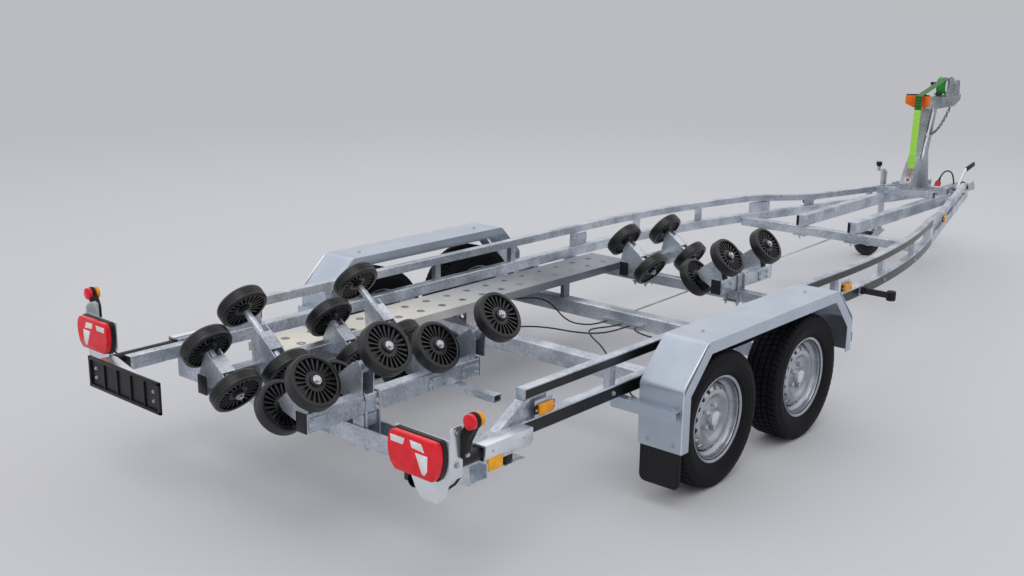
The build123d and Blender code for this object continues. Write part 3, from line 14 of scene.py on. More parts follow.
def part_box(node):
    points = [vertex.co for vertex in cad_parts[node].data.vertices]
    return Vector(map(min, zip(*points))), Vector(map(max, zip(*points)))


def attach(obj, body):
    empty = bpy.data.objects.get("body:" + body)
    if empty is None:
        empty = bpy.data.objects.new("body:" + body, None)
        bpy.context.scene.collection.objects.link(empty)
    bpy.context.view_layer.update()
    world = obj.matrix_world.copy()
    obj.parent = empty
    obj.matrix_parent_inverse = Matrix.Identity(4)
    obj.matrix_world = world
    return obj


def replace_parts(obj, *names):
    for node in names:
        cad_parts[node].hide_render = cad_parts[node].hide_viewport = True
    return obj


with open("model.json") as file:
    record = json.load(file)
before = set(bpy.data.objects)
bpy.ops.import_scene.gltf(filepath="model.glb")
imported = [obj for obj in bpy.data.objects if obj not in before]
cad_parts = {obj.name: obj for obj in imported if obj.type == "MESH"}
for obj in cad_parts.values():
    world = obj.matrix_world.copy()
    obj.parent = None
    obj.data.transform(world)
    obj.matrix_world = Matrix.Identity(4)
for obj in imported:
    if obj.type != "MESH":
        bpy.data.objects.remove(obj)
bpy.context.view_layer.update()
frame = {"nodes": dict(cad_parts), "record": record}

# ---------------- places taken from the frame
SIDES = (("left", 1), ("right", -1))
WHEELS = [f"{end}_{side}" for end in ("front", "rear") for side, _ in SIDES]
X, Y, Z = Vector((1, 0, 0)), Vector((0, 1, 0)), Vector((0, 0, 1))


def middle(node):
    """Middle of a CAD node's box."""
    low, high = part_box(node)
    return (low + high) / 2


TANDEM_X = sum(middle(f"tyre_{wheel}").x for wheel in WHEELS) / len(WHEELS)


def at(x, y, z):
    """Point at a station of the trailer."""
    return Vector((TANDEM_X + x, y, z))


def show(name, data):
    """A new object in the scene."""
    shown = bpy.data.objects.new(name, data)
    bpy.context.scene.collection.objects.link(shown)
    return shown


def rect(a0, b0, a1, b1):
    """Outline of a rectangle between two corners."""
    return [(a0, b0), (a1, b0), (a1, b1), (a0, b1)]


def centred(half_a, half_b):
    """Outline of a rectangle about the origin."""
    return rect(-half_a, -half_b, half_a, half_b)


# ---------------- camera
CAMERA_AT = at(-4.5483, -3.5536, 2.0888)
CAMERA_YAW, CAMERA_PITCH, CAMERA_ROLL = 0.7128, 0.2515, 0.0142
CAMERA_LENS, CAMERA_SENSOR, CAMERA_REACH = 41.35, 36.0, 300

camera = show("camera", bpy.data.cameras.new("camera"))
camera.data.lens = CAMERA_LENS
camera.data.sensor_width = CAMERA_SENSOR
camera.data.clip_end = CAMERA_REACH
flat = cos(CAMERA_PITCH)
look = Vector((cos(CAMERA_YAW) * flat, sin(CAMERA_YAW) * flat, -sin(CAMERA_PITCH)))
level_right = look.cross(Z).normalized()
level_up = level_right.cross(look)
right = level_right * cos(CAMERA_ROLL) + level_up * sin(CAMERA_ROLL)
up = level_up * cos(CAMERA_ROLL) - level_right * sin(CAMERA_ROLL)
camera.matrix_world = Matrix.Translation(CAMERA_AT) @ Matrix((right, up, -look)).transposed().to_4x4()
bpy.context.scene.camera = camera
bpy.context.scene.view_settings.view_transform = "Standard"


# ---------------- shader nodes
def feed(tree, node, **inputs):
    """Gives a node's inputs a value or another node's output. Underscores stand for spaces."""
    for name, value in inputs.items():
        socket = node.inputs[name.replace("_", " ")]
        if isinstance(value, bpy.types.NodeSocket):
            tree.links.new(value, socket)
        else:
            socket.default_value = value
    return node


def add(tree, kind, **inputs):
    """Adds a node and feeds its inputs."""
    return feed(tree, tree.nodes.new(kind), **inputs)


def node_material(name):
    """A new material with its node tree and its principled shader."""
    material = bpy.data.materials.new(name)
    material.use_nodes = True
    return material, material.node_tree, material.node_tree.nodes["Principled BSDF"]


def texture_space(tree, scale=1):
    """Object coordinates, stretched by scale."""
    places = add(tree, "ShaderNodeTexCoord").outputs["Object"]
    return add(tree, "ShaderNodeMapping", Vector=places, Scale=(scale, scale, scale)).outputs["Vector"]


def noise(tree, vector, scale, detail):
    """Noise value from 0 to 1."""
    return add(tree, "ShaderNodeTexNoise", Vector=vector, Scale=scale, Detail=detail).outputs["Fac"]


def ramp(tree, factor, stops):
    """Colour ramp through (position, colour) stops."""
    node = add(tree, "ShaderNodeValToRGB", Fac=factor)
    elements = node.color_ramp.elements
    for element, (position, colour) in zip(elements, (stops[0], stops[-1])):
        element.position, element.color = position, (*colour, 1)
    for position, colour in stops[1:-1]:
        elements.new(position).color = (*colour, 1)
    return node.outputs["Color"]


def spread(tree, factor, low, high):
    """Maps 0..1 to low..high."""
    return add(tree, "ShaderNodeMapRange", Value=factor, To_Min=low, To_Max=high).outputs["Result"]


def bump(tree, height, strength, distance):
    """Normal that follows a height."""
    node = add(tree, "ShaderNodeBump", Height=height, Strength=strength, Distance=distance)
    return node.outputs["Normal"]


# ---------------- floor and light
FLOOR_COLOUR = (0.497, 0.503, 0.527)
# painted light: the paler floor tone near the trailer, which cancels the shade round it
FLOOR_NEAR_PAINTED_LIGHT = (0.598, 0.604, 0.629)
FLOOR_HALF = 150.0
# the floor is painted paler than the background up to the first distance, painted light that lifts the
# trailer's shade round it, and the same from the second
FLOOR_NEAR, FLOOR_FAR = 2.5, 13.0
# height of the sky's direction and its brightness, which the metal reflects
SKY = ((0.4, 0.42), (0.52, 0.5), (0.62, 0.95), (0.8, 1.25), (1.0, 0.9))
SKY_TINT = (0.985, 0.985, 1.0)
SKY_STRENGTH = 0.8
# name, direction that it shines from, angle, strength
SUNS = (("key", (-0.4, -0.25, 1.0), 0.6, 0.45), ("back", (0.3, 0.45, 1.0), 0.9, 0.12))


def make_floor():
    """Grey floor, matt, with painted light: a little paler near the trailer to lift the shade that falls
    round it.
    """
    mesh = bpy.data.meshes.new("floor")
    mesh.from_pydata([(x, y, 0) for x, y in centred(FLOOR_HALF, FLOOR_HALF)], [], [(0, 1, 2, 3)])
    floor = show("floor", mesh)
    material, tree, shader = node_material("floor_grey_painted_light")
    distance = tree.nodes.new("ShaderNodeVectorMath")
    distance.operation = "LENGTH"
    tree.links.new(add(tree, "ShaderNodeTexCoord").outputs["Object"], distance.inputs[0])
    share = tree.nodes.new("ShaderNodeMapRange")
    share.interpolation_type = "SMOOTHSTEP"
    feed(tree, share, Value=distance.outputs["Value"], From_Min=FLOOR_NEAR, From_Max=FLOOR_FAR)
    colour = ramp(tree, share.outputs["Result"], ((0.0, FLOOR_NEAR_PAINTED_LIGHT), (1.0, FLOOR_COLOUR)))
    feed(tree, shader, Base_Color=colour, Roughness=0.9, Specular_IOR_Level=0.0)
    mesh.materials.append(material)


def make_light():
    """Sky that lights the trailer, plain to the camera's eye, and two suns."""
    world = bpy.data.worlds.new("studio")
    world.use_nodes = True
    bpy.context.scene.world = world
    tree = world.node_tree
    axes = add(tree, "ShaderNodeSeparateXYZ", Vector=add(tree, "ShaderNodeTexCoord").outputs["Generated"])
    height = add(tree, "ShaderNodeMapRange", Value=axes.outputs["Z"], From_Min=-1.0).outputs["Result"]
    levels = [(position, [tint * level for tint in SKY_TINT]) for position, level in SKY]
    lit = feed(tree, tree.nodes["Background"], Color=ramp(tree, height, levels), Strength=SKY_STRENGTH)
    seen = add(tree, "ShaderNodeBackground", Color=(*FLOOR_COLOUR, 1))
    rays = add(tree, "ShaderNodeLightPath").outputs["Is Camera Ray"]
    mix = add(tree, "ShaderNodeMixShader", Fac=rays)
    tree.links.new(lit.outputs["Background"], mix.inputs[1])
    tree.links.new(seen.outputs["Background"], mix.inputs[2])
    feed(tree, tree.nodes["World Output"], Surface=mix.outputs["Shader"])
    for name, direction, angle, strength in SUNS:
        sun = bpy.data.lights.new(name, "SUN")
        sun.angle = angle
        sun.energy = strength
        show(name, sun).rotation_euler = Vector(direction).to_track_quat("Z", "Y").to_euler()


make_floor()
make_light()

# ---------------- rails, repeated from the frame's plan
RAIL_OUT = 0.9
BEND_X, BEND_R, LEG_TURN = 1.24, 6.8, radians(14.4)
LOW_W, LOW_TOP, LOW_H = 0.05, 0.515, 0.06
LOW_BOTTOM = LOW_TOP - LOW_H
UP_W, UP_TOP, UP_H, UP_NOSE_DROP = 0.04, 0.645, 0.045, 0.048
DROP_FROM, DROP_TO = 2.96, 3.56


def rail_y(x, inset=0.0):
    """Distance from the centre line to a line `inset` inside the rails' outer face."""
    radius = BEND_R - inset
    bend_end = BEND_X + radius * sin(LEG_TURN)
    if x <= BEND_X:
        return RAIL_OUT - inset
    if x <= bend_end:
        return RAIL_OUT - BEND_R + sqrt(radius ** 2 - (x - BEND_X) ** 2)
    return RAIL_OUT - BEND_R + radius * cos(LEG_TURN) - (x - bend_end) * tan(LEG_TURN)


def rail_turn(x):
    """Angle of the rails towards the centre line."""
    return 0.0 if x <= BEND_X else min(LEG_TURN, atan((x - BEND_X) / BEND_R))


def rail_axes(x, side):
    """Directions along and out of a rail at a station."""
    angle = rail_turn(x)
    outward = Vector((sin(angle), side * cos(angle), 0))
    return outward.cross(Z) * -side, outward


def on_rail(x, side, z, inset=0.0):
    """Point of a rail's outer face, or of a line inside it."""
    return at(x, side * rail_y(x, inset), z)


def upper_drop(x):
    """How far the upper rail has come down at station x."""
    return UP_NOSE_DROP * min(max((x - DROP_FROM) / (DROP_TO - DROP_FROM), 0.0), 1.0)


# ---------------- materials
def galvanised(name, dark, light, rough, spangle=70.0, metal=0.85, uneven=0.12):
    """Hot-dip zinc: crystal spangle, cloudy patches and a fine uneven surface."""
    material, tree, shader = node_material(name)
    space = texture_space(tree)
    crystals = add(tree, "ShaderNodeTexVoronoi", Vector=space, Scale=spangle).outputs["Color"]
    grey = add(tree, "ShaderNodeSeparateColor", Color=crystals).outputs["Red"]
    clouds = noise(tree, space, 6.0, 6.0)
    blend = add(tree, "ShaderNodeMix", Factor=0.85, A=grey, B=clouds).outputs["Result"]
    feed(tree, shader, Base_Color=ramp(tree, blend, ((0.36, dark), (0.62, light))),
         Roughness=spread(tree, blend, rough + 0.1, rough - 0.08), Metallic=metal,
         Normal=bump(tree, noise(tree, space, 240.0, 2.0), uneven, 0.0006))
    return material


def rubber(name, colour, rough, shine=0.35):
    """Moulded rubber or plastic: fine grain and a little dust."""
    material, tree, shader = node_material(name)
    space = texture_space(tree)
    dust = noise(tree, space, 14.0, 6.0)
    pale = [c + 0.003 for c in colour]
    feed(tree, shader, Base_Color=ramp(tree, dust, ((0.35, colour), (0.8, pale))),
         Roughness=spread(tree, dust, rough - 0.07, rough + 0.1), Specular_IOR_Level=shine,
         Normal=bump(tree, noise(tree, space, 500.0, 2.0), 0.25, 0.0004))
    return material


def gloss(name, colour, rough=0.12, cells=0.0):
    """Moulded lens or glossy plastic, with prism cells where cells isn't 0."""
    material, tree, shader = node_material(name)
    space = texture_space(tree)
    deep = [c * 0.8 for c in colour]
    feed(tree, shader, Base_Color=ramp(tree, noise(tree, space, 30.0, 3.0), ((0.3, deep), (0.7, colour))),
         Roughness=rough, Coat_Weight=0.15, Specular_IOR_Level=0.3)
    if cells:
        prisms = add(tree, "ShaderNodeTexVoronoi", Vector=space, Scale=cells, Randomness=0.0)
        feed(tree, shader, Normal=bump(tree, prisms.outputs["Distance"], 0.6, 0.0006))
    return material


def webbing(name, dark, light):
    """Woven strap: fine diagonal ribs across its width."""
    material, tree, shader = node_material(name)
    space = texture_space(tree, 700)
    wave = add(tree, "ShaderNodeTexWave", Vector=space, Scale=1.0, Distortion=0.4).outputs["Fac"]
    feed(tree, shader, Base_Color=ramp(tree, wave, ((0.2, dark), (0.8, light))), Roughness=0.7,
         Sheen_Weight=0.2, Normal=bump(tree, wave, 0.4, 0.0005))
    return material


FINISH = {
    "galvanised": galvanised("galvanised", (0.36, 0.4, 0.46), (0.68, 0.72, 0.79), 0.38, 110.0),
    "zinc": galvanised("zinc", (0.39, 0.42, 0.46), (0.6, 0.63, 0.68), 0.34, 220.0),
    "wheel_steel": galvanised("wheel_silver", (0.28, 0.3, 0.34), (0.5, 0.52, 0.57), 0.26, 900.0, 0.8),
    "tyre": rubber("tyre_rubber", (0.006, 0.006, 0.008), 0.6, 0.14),
    "roller_rubber": rubber("roller_rubber", (0.004, 0.004, 0.006), 0.32, 0.6),
    "black_rubber": rubber("black_rubber", (0.008, 0.008, 0.009), 0.5, 0.3),
    "black_plastic": rubber("black_plastic", (0.007, 0.007, 0.008), 0.38),
    "lamp_red": gloss("lamp_red", (0.86, 0.01, 0.024), cells=180.0),
    "amber": gloss("amber_lens", (0.95, 0.36, 0.01), cells=260.0),
    "orange_pad": rubber("orange_pad", (0.92, 0.17, 0.006), 0.5),
    "green_web": webbing("green_web", (0.26, 0.66, 0.03), (0.5, 0.9, 0.12)),
}
SHEET = galvanised("sheet_zinc", (0.49, 0.545, 0.63), (0.56, 0.62, 0.71), 0.34, 420.0, uneven=0.03)
BRIGHT = galvanised("bright_zinc", (0.72, 0.75, 0.79), (0.84, 0.87, 0.91), 0.3, 300.0, uneven=0.03)
# painted shade: darker zinc for the winch post, standing for the shade inside its channel
STAND_PAINTED_SHADE = galvanised("stand_zinc_painted_shade", (0.24, 0.26, 0.29), (0.46, 0.49, 0.54), 0.5, 160.0)
BOLT = galvanised("bolt_zinc", (0.4, 0.42, 0.45), (0.62, 0.64, 0.68), 0.28, 500.0)
# dark steel of the safety chain; the same material is the painted shade round the walkway's holes
CHAIN_STEEL_AND_RIM_SHADE = galvanised("chain_steel_and_rim_shade", (0.14, 0.15, 0.17), (0.26, 0.27, 0.3), 0.35, 500.0)
GEAR_GREY = galvanised("cast_housing", (0.26, 0.27, 0.29), (0.42, 0.43, 0.46), 0.42, 600.0)
COPPER = galvanised("copper_hook", (0.45, 0.2, 0.1), (0.62, 0.3, 0.16), 0.3)
# painted highlight: the strap's coil on the drum is a brighter green than the same strap above the stop
COIL_WEB_PAINTED_LIGHT = webbing("coil_web_painted_light", (0.006, 0.24, 0.01), (0.03, 0.5, 0.05))
DARK_WEB = webbing("dark_green_web", (0.003, 0.078, 0.006), (0.008, 0.18, 0.016))
TAPE = gloss("black_tape", (0.008, 0.008, 0.01), 0.3)
YELLOW = gloss("yellow_reflector", (1.0, 0.47, 0.008), 0.2, 240.0)
WHITE = gloss("white_reflector", (0.88, 0.88, 0.9), 0.2, 220.0)
PLUG_RED = gloss("red_plug", (0.6, 0.01, 0.02), 0.3)
DARK_RED = rubber("bellows_rubber", (0.06, 0.004, 0.01), 0.42)

WALK_REAR, WALK_FRONT, WALK_TOP, WALK_MIDDLE = -1.5, 1.04, 0.526, 0.505
# painted reflection along the walkway from its rear to its front: warm and pale at the tail, a dark streak,
# grey at the front
WALK_PAINTED_REFLECTION = ((0.0, (0.92, 0.85, 0.72)), (0.34, (0.78, 0.74, 0.66)), (0.54, (0.44, 0.45, 0.48)),
              (0.74, (0.15, 0.16, 0.19)), (1.0, (0.3, 0.32, 0.37)))


def deck_sheet():
    """Zinc sheet with a painted reflection along it: a warm pale tone at the tail, a dark streak, then grey
    at the front.
    """
    material = galvanised("walkway_sheet_painted_reflection", (0.86, 0.88, 0.92), (1.0, 1.0, 1.0), 0.3, 260.0, uneven=0.05)
    tree = material.node_tree
    shader = tree.nodes["Principled BSDF"]
    metal = shader.inputs["Base Color"].links[0].from_socket
    axes = add(tree, "ShaderNodeSeparateXYZ", Vector=texture_space(tree))
    along = add(tree, "ShaderNodeMapRange", Value=axes.outputs["X"], From_Min=TANDEM_X + WALK_REAR,
                From_Max=TANDEM_X + WALK_FRONT)
    mix = tree.nodes.new("ShaderNodeMix")
    mix.data_type = "RGBA"
    mix.blend_type = "MULTIPLY"
    feed(tree, mix, Factor=1.0, A=metal, B=ramp(tree, along.outputs["Result"], WALK_PAINTED_REFLECTION))
    feed(tree, shader, Base_Color=mix.outputs["Result"], Metallic=0.7)
    return material


# nodes whose finish differs from their slot's
NODE_FINISH = {"walkway": deck_sheet(), "fender_left": SHEET, "fender_right": SHEET, "bellows": DARK_RED,
               "handbrake_lever": BRIGHT, "winch_post": STAND_PAINTED_SHADE, "overrun_housing": GEAR_GREY}

for part in frame["record"]["subparts"]:
    node = frame["nodes"][part["node"]]
    node.data.materials.clear()
    node.data.materials.append(NODE_FINISH.get(part["node"], FINISH[part["material_slot"]]))

# ---------------- mesh helpers
SMOOTH_ANGLE = radians(32)


def put(name, shape, slot, material=None, body="frame", lay=None):
    """Makes a piece from a bmesh or a mesh, in its slot's finish or its own, and lets it ride on a body."""
    if isinstance(shape, bmesh.types.BMesh):
        bmesh.ops.recalc_face_normals(shape, faces=shape.faces)
        mesh = bpy.data.meshes.new(name)
        shape.to_mesh(mesh)
        shape.free()
        mesh.shade_smooth()
        mesh.set_sharp_from_angle(angle=SMOOTH_ANGLE)
        mesh.materials.append(material or FINISH[slot])
    else:
        mesh = shape
    piece = show(name, mesh)
    if lay is not None:
        piece.matrix_world = lay
    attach(piece, body)
    return piece


def add_bmesh(bm, other):
    """Joins another bmesh to bm and frees it."""
    mesh = bpy.data.meshes.new("joined")
    bmesh.ops.recalc_face_normals(other, faces=other.faces)
    other.to_mesh(mesh)
    other.free()
    bm.from_mesh(mesh)
    bpy.data.meshes.remove(mesh)


def bridge(bm, rings, closed=False):
    """Joins each ring of vertices to the next, and where closed the last one to the first."""
    for ring, following in zip(rings, rings[1:] + rings[:1] * closed):
        for k in range(len(ring)):
            m = (k + 1) % len(ring)
            bm.faces.new((ring[k], ring[m], following[m], following[k]))


def loft(bm, rings):
    """Joins rings to a piece with flat ends."""
    bridge(bm, rings)
    bm.faces.new(rings[0])
    bm.faces.new(rings[-1])


def even_angles(count):
    """Angles of a full turn in equal steps."""
    return [2 * pi * k / count for k in range(count)]


def turned(profile, angles, carve=None):
    """Turns a closed profile of (radius, y) about Y, in angles or in a number of even ones.

    carve(angle number, profile number) gives (change of radius, change of angle) for patterns.
    """
    bm = bmesh.new()
    rings = []
    for number, angle in enumerate(even_angles(angles) if isinstance(angles, int) else angles):
        ring = []
        for point, (radius, y) in enumerate(profile):
            more_r, more_angle = carve(number, point) if carve else (0, 0)
            r, a = radius + more_r, angle + more_angle
            ring.append(bm.verts.new((r * cos(a), y, r * sin(a))))
        rings.append(ring)
    bridge(bm, rings, closed=True)
    return bm


def axis_frame(place, y_axis, x_axis=X):
    """Matrix that puts a piece turned about Y at a place, along y_axis."""
    y = Vector(y_axis).normalized()
    hint = Vector(x_axis)
    if abs(hint.dot(y)) > 0.95:
        hint = Z
    z = hint.cross(y).normalized()
    x = y.cross(z)
    matrix = Matrix((x, y, z)).transposed().to_4x4()
    matrix.translation = place
    return matrix


def add_turned(bm, profile, count, place, y_axis):
    """Adds a turned piece at a place, along y_axis."""
    piece = turned(profile, count)
    piece.transform(axis_frame(place, y_axis))
    add_bmesh(bm, piece)


# ---------------- tyres
TYRE_R = 0.306
FLANGE_R, BEAD_R = 0.194, 0.178
TREAD_PITCHES = 62
TREAD_SLOT = 0.22               # share of a pitch that is slot
TREAD_HALF, CROWN = 0.074, 0.003
GROOVES = (-0.046, -0.016, 0.016, 0.046)
GROOVE_W, GROOVE_D, SLOT_D, SLOT_SKEW, EDGE = 0.0065, 0.0075, 0.0055, 0.055, 0.0004
TYRE_SIDE = ((TYRE_R - 0.006, TREAD_HALF + 0.006), (TYRE_R - 0.013, TREAD_HALF + 0.011),
             (TYRE_R - 0.022, TREAD_HALF + 0.0125), (0.272, 0.0895), (0.262, 0.0918), (0.2605, 0.0925),
             (0.2585, 0.091), (0.245, 0.0912), (0.228, 0.088), (0.214, 0.082), (0.2115, 0.0822),
             (0.2095, 0.08), (0.2, 0.074), (FLANGE_R + 0.001, 0.07), (BEAD_R, 0.069))


def tyre_profile():
    """Closed section of a tyre as (radius, y), and the numbers of its block and shoulder points."""
    edges = [-TREAD_HALF] + [g + s * GROOVE_W / 2 for g in GROOVES for s in (-1, 1)] + [TREAD_HALF]
    points, blocks = [], set()
    for low, high in zip(edges[0::2], edges[1::2]):
        low_r, high_r = (TYRE_R - CROWN * (y / TREAD_HALF) ** 2 for y in (low, high))
        # the section leaves out the outermost groove points, so that the shoulders stay closed
        blocks |= {len(TYRE_SIDE) + len(points), len(TYRE_SIDE) + len(points) + 1}
        points += [(low_r - GROOVE_D, low), (low_r, low + EDGE), (high_r, high - EDGE),
                   (high_r - GROOVE_D, high)]
    profile = [(r, -y) for r, y in reversed(TYRE_SIDE)] + points[1:-1] + list(TYRE_SIDE)
    first, last = len(TYRE_SIDE), len(profile) - len(TYRE_SIDE)
    return profile, blocks, {first - 2, first - 1, last, last + 1}


def tyre_mesh():
    """A tyre with ribs, slanted slots and shoulder blocks."""
    profile, blocks, shoulders = tyre_profile()
    pitch = 2 * pi / TREAD_PITCHES
    angles = []
    for k in range(TREAD_PITCHES):
        start = k * pitch
        slot_at = start + pitch * (1 - TREAD_SLOT)
        angles += [start, slot_at, slot_at + pitch * 0.02, start + pitch * 0.98]
    cut_blocks = {k for k in blocks if abs(profile[k][1]) >= 0.012}

    def carve(number, point):
        y = profile[point][1]
        skew = SLOT_SKEW * sin(y / TREAD_HALF * pi * 0.9) * 0.6 if abs(y) < TREAD_HALF + 0.001 else 0
        in_slot = number % 4 in (2, 3)
        if in_slot and point in cut_blocks:
            return -SLOT_D, skew
        if in_slot and point in shoulders:
            return -SLOT_D * 0.8, skew
        return 0, skew

    return turned(profile, angles, carve)


# ---------------- wheels
VENTS, VENT_CIRCLE, VENT_R, VENT_SLANT = 18, 0.137, 0.0118, radians(-26)
LUGS, LUG_CIRCLE = 5, 0.056
STEEL_T = 0.0035
BARREL = ((FLANGE_R, 0.072), (FLANGE_R - 0.001, 0.0735), (0.1885, 0.0725), (0.1845, 0.069), (0.1815, 0.065),
          (0.179, 0.056), (0.177, 0.042), (0.172, 0.035), (0.159, 0.027), (0.156, 0.018), (0.156, -0.015),
          (0.16, -0.021), (0.175, -0.034), (0.179, -0.06), (0.188, -0.069), (FLANGE_R, -0.0725))
DISC = ((0.1545, 0.006), (0.153, 0.018), (0.148, 0.03), (0.143, 0.04), (0.133, 0.047), (0.122, 0.051),
        (0.112, 0.052), (0.105, 0.05), (0.098, 0.044), (0.09, 0.037), (0.082, 0.0335), (0.076, 0.033),
        (0.04, 0.033), (0.036, 0.035), (0.032, 0.035))
HUB_CAP = ((0.0, 0.0335), (0.0335, 0.0335), (0.0335, 0.056), (0.032, 0.061), (0.027, 0.064), (0.0, 0.0645))
DRUM = ((0.02, -0.085), (0.112, -0.085), (0.112, -0.04), (0.109, -0.038), (0.109, -0.014), (0.098, -0.009),
        (0.068, -0.007), (0.066, 0.0), (0.066, 0.03), (0.02, 0.03))


def pressed(front, inward, back):
    """Sheet turned from its front line, with its back moved inward and back."""
    return turned(list(front) + [(r - inward, y - back) for r, y in reversed(front)], 96)


def add_disc(bm):
    """Adds the wheel's disc, with the round vents cut through it."""
    disc_bm, cutter_bm = pressed(DISC, 0.0015, STEEL_T), bmesh.new()
    bmesh.ops.recalc_face_normals(disc_bm, faces=disc_bm.faces)
    for k in range(VENTS):
        around = Matrix.Rotation(2 * pi * (k + 0.5) / VENTS, 4, "Y").inverted()
        lay = around @ Matrix.Translation((VENT_CIRCLE, 0.045, 0)) @ Matrix.Rotation(VENT_SLANT, 4, "Z")
        bmesh.ops.create_cone(cutter_bm, cap_ends=True, segments=20, radius1=VENT_R, radius2=VENT_R,
                              depth=0.05, matrix=lay @ Matrix.Rotation(pi / 2, 4, "X"))
    shown = []
    for name, shape in (("wheel_disc", disc_bm), ("vent_cutter", cutter_bm)):
        mesh = bpy.data.meshes.new(name)
        shape.to_mesh(mesh)
        shape.free()
        shown.append(show(name, mesh))
    disc, cutter = shown
    cut = disc.modifiers.new("vents", "BOOLEAN")
    cut.operation, cut.object, cut.solver = "DIFFERENCE", cutter, "EXACT"
    bm.from_mesh(disc.evaluated_get(bpy.context.evaluated_depsgraph_get()).to_mesh())
    for done in shown:
        bpy.data.objects.remove(done)


def hex_bolt(bm, place, normal, size):
    """Adds a hexagon head with a chamfered top. size is its width, its height and its washer's radius."""
    across, height, washer = size
    matrix = axis_frame(place, normal, (0.3, 0.2, 0.9))

    def stack(levels, sides):
        rings = [[bm.verts.new(matrix @ Vector((r * cos(a), y, r * sin(a)))) for a in even_angles(sides)]
                 for r, y in levels]
        bridge(bm, rings)
        bm.faces.new(rings[-1])

    base = 0.002 if washer else 0.0
    if washer:
        stack(((washer, 0), (washer, base)), 18)
    radius = across / sqrt(3)
    stack(((radius, base), (radius, base + height * 0.82), (radius * 0.84, base + height)), 6)


def bolts(name, places, size, body="frame"):
    """One piece with a bolt head at each (place, outward direction)."""
    bm = bmesh.new()
    for place, normal in places:
        hex_bolt(bm, place, normal, size)
    put(name, bm, "zinc", BOLT, body)


def build_wheels():
    """Tyres, rims, brake drums, hub caps and lug bolts of the four wheels."""
    rim = pressed(BARREL, STEEL_T, 0)
    add_disc(rim)
    shapes = {"tyre_skin": tyre_mesh(), "rim": rim, "drum": turned(DRUM, 72), "hub_cap": turned(HUB_CAP, 48)}
    looks = {"tyre_skin": ("tyre", None), "rim": ("wheel_steel", None), "drum": ("wheel_steel", GEAR_GREY),
             "hub_cap": ("wheel_steel", BRIGHT)}
    for wheel in WHEELS:
        side = 1 if wheel.endswith("left") else -1
        lay = axis_frame(middle(f"tyre_{wheel}"), Y * side)
        body = f"road_wheel_{wheel}"
        pieces = {}
        for name, (slot, material) in looks.items():
            pieces[name] = put(f"{name}_{wheel}", shapes[name], slot, material, body, lay)
            shapes[name] = pieces[name].data
        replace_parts(pieces["rim"], f"wheel_{wheel}")
        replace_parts(pieces["tyre_skin"], f"tyre_{wheel}")
        lugs = [(lay @ Vector((LUG_CIRCLE * cos(a), 0.0335, LUG_CIRCLE * sin(a))), Y * side)
                for a in even_angles(LUGS)]
        bolts(f"lug_bolts_{wheel}", lugs, (0.019, 0.012, 0.013), body)


build_wheels()

# ---------------- rollers
ROLLER_R, ROLLER_W = 0.108, 0.057
ROLLER_HALF = ROLLER_W / 2
ROLLER_TILT = radians(37)
SHORT_HALF, LONG_HALF = 0.118, 0.18
ROLLER_PAIRS = [("rear", n, LONG_HALF if n in (2, 4) else SHORT_HALF) for n in (1, 2, 3, 4)]
ROLLER_PAIRS += [("middle", n, SHORT_HALF) for n in (1, 2)]
RIBS, RIM_IN, HUB_R, WEB_HALF, RIB_HALF = 22, 0.088, 0.034, 0.006, 0.0215
HUB_SIDE = ((0.012, ROLLER_HALF + 0.002), (0.022, ROLLER_HALF + 0.002), (0.025, ROLLER_HALF - 0.001),
            (0.026, 0.02), (HUB_R, 0.018), (HUB_R + 0.008, 0.019), (HUB_R + 0.009, 0.0175))


def mirrored(side):
    """Profile that runs along one side from -y and back along the other."""
    return [(r, -y) for r, y in side] + [(r, y) for r, y in reversed(side)]


def roller_mesh():
    """Grooved tread ring, thin web with radial ribs, and a hub."""
    half = ROLLER_HALF
    tread = [(RIM_IN, -half + 0.003), (RIM_IN + 0.003, -half), (0.098, -half), (0.1035, -half + 0.002),
             (0.1065, -half + 0.006), (ROLLER_R - 0.0004, -half + 0.01)]
    shoulder = [(r, -y) for r, y in reversed(tread)]
    for groove in (-0.01, 0.0, 0.01):
        tread += [(ROLLER_R, groove - 0.0022), (ROLLER_R - 0.0022, groove - 0.001),
                  (ROLLER_R - 0.0022, groove + 0.001), (ROLLER_R, groove + 0.0022)]
    bm = turned(tread + shoulder, 72)
    add_bmesh(bm, turned(rect(HUB_R - 0.002, -WEB_HALF, RIM_IN + 0.002, WEB_HALF), 60))
    add_bmesh(bm, turned(mirrored(HUB_SIDE), 48))
    ribs = bmesh.new()
    pitch = 2 * pi / RIBS
    for k in range(RIBS):
        edges = (k + 0.33) * pitch, (k + 0.67) * pitch
        for heights in ((-RIB_HALF, -WEB_HALF + 0.001), (WEB_HALF - 0.001, RIB_HALF)):
            v = [ribs.verts.new((r * cos(a), y, r * sin(a))) for a in edges
                 for r in (HUB_R + 0.006, RIM_IN + 0.001) for y in heights]
            for face in ((0, 1, 3, 2), (4, 6, 7, 5), (0, 4, 5, 1), (2, 3, 7, 6), (1, 5, 7, 3), (0, 2, 6, 4)):
                ribs.faces.new([v[corner] for corner in face])
    add_bmesh(bm, ribs)
    return bm


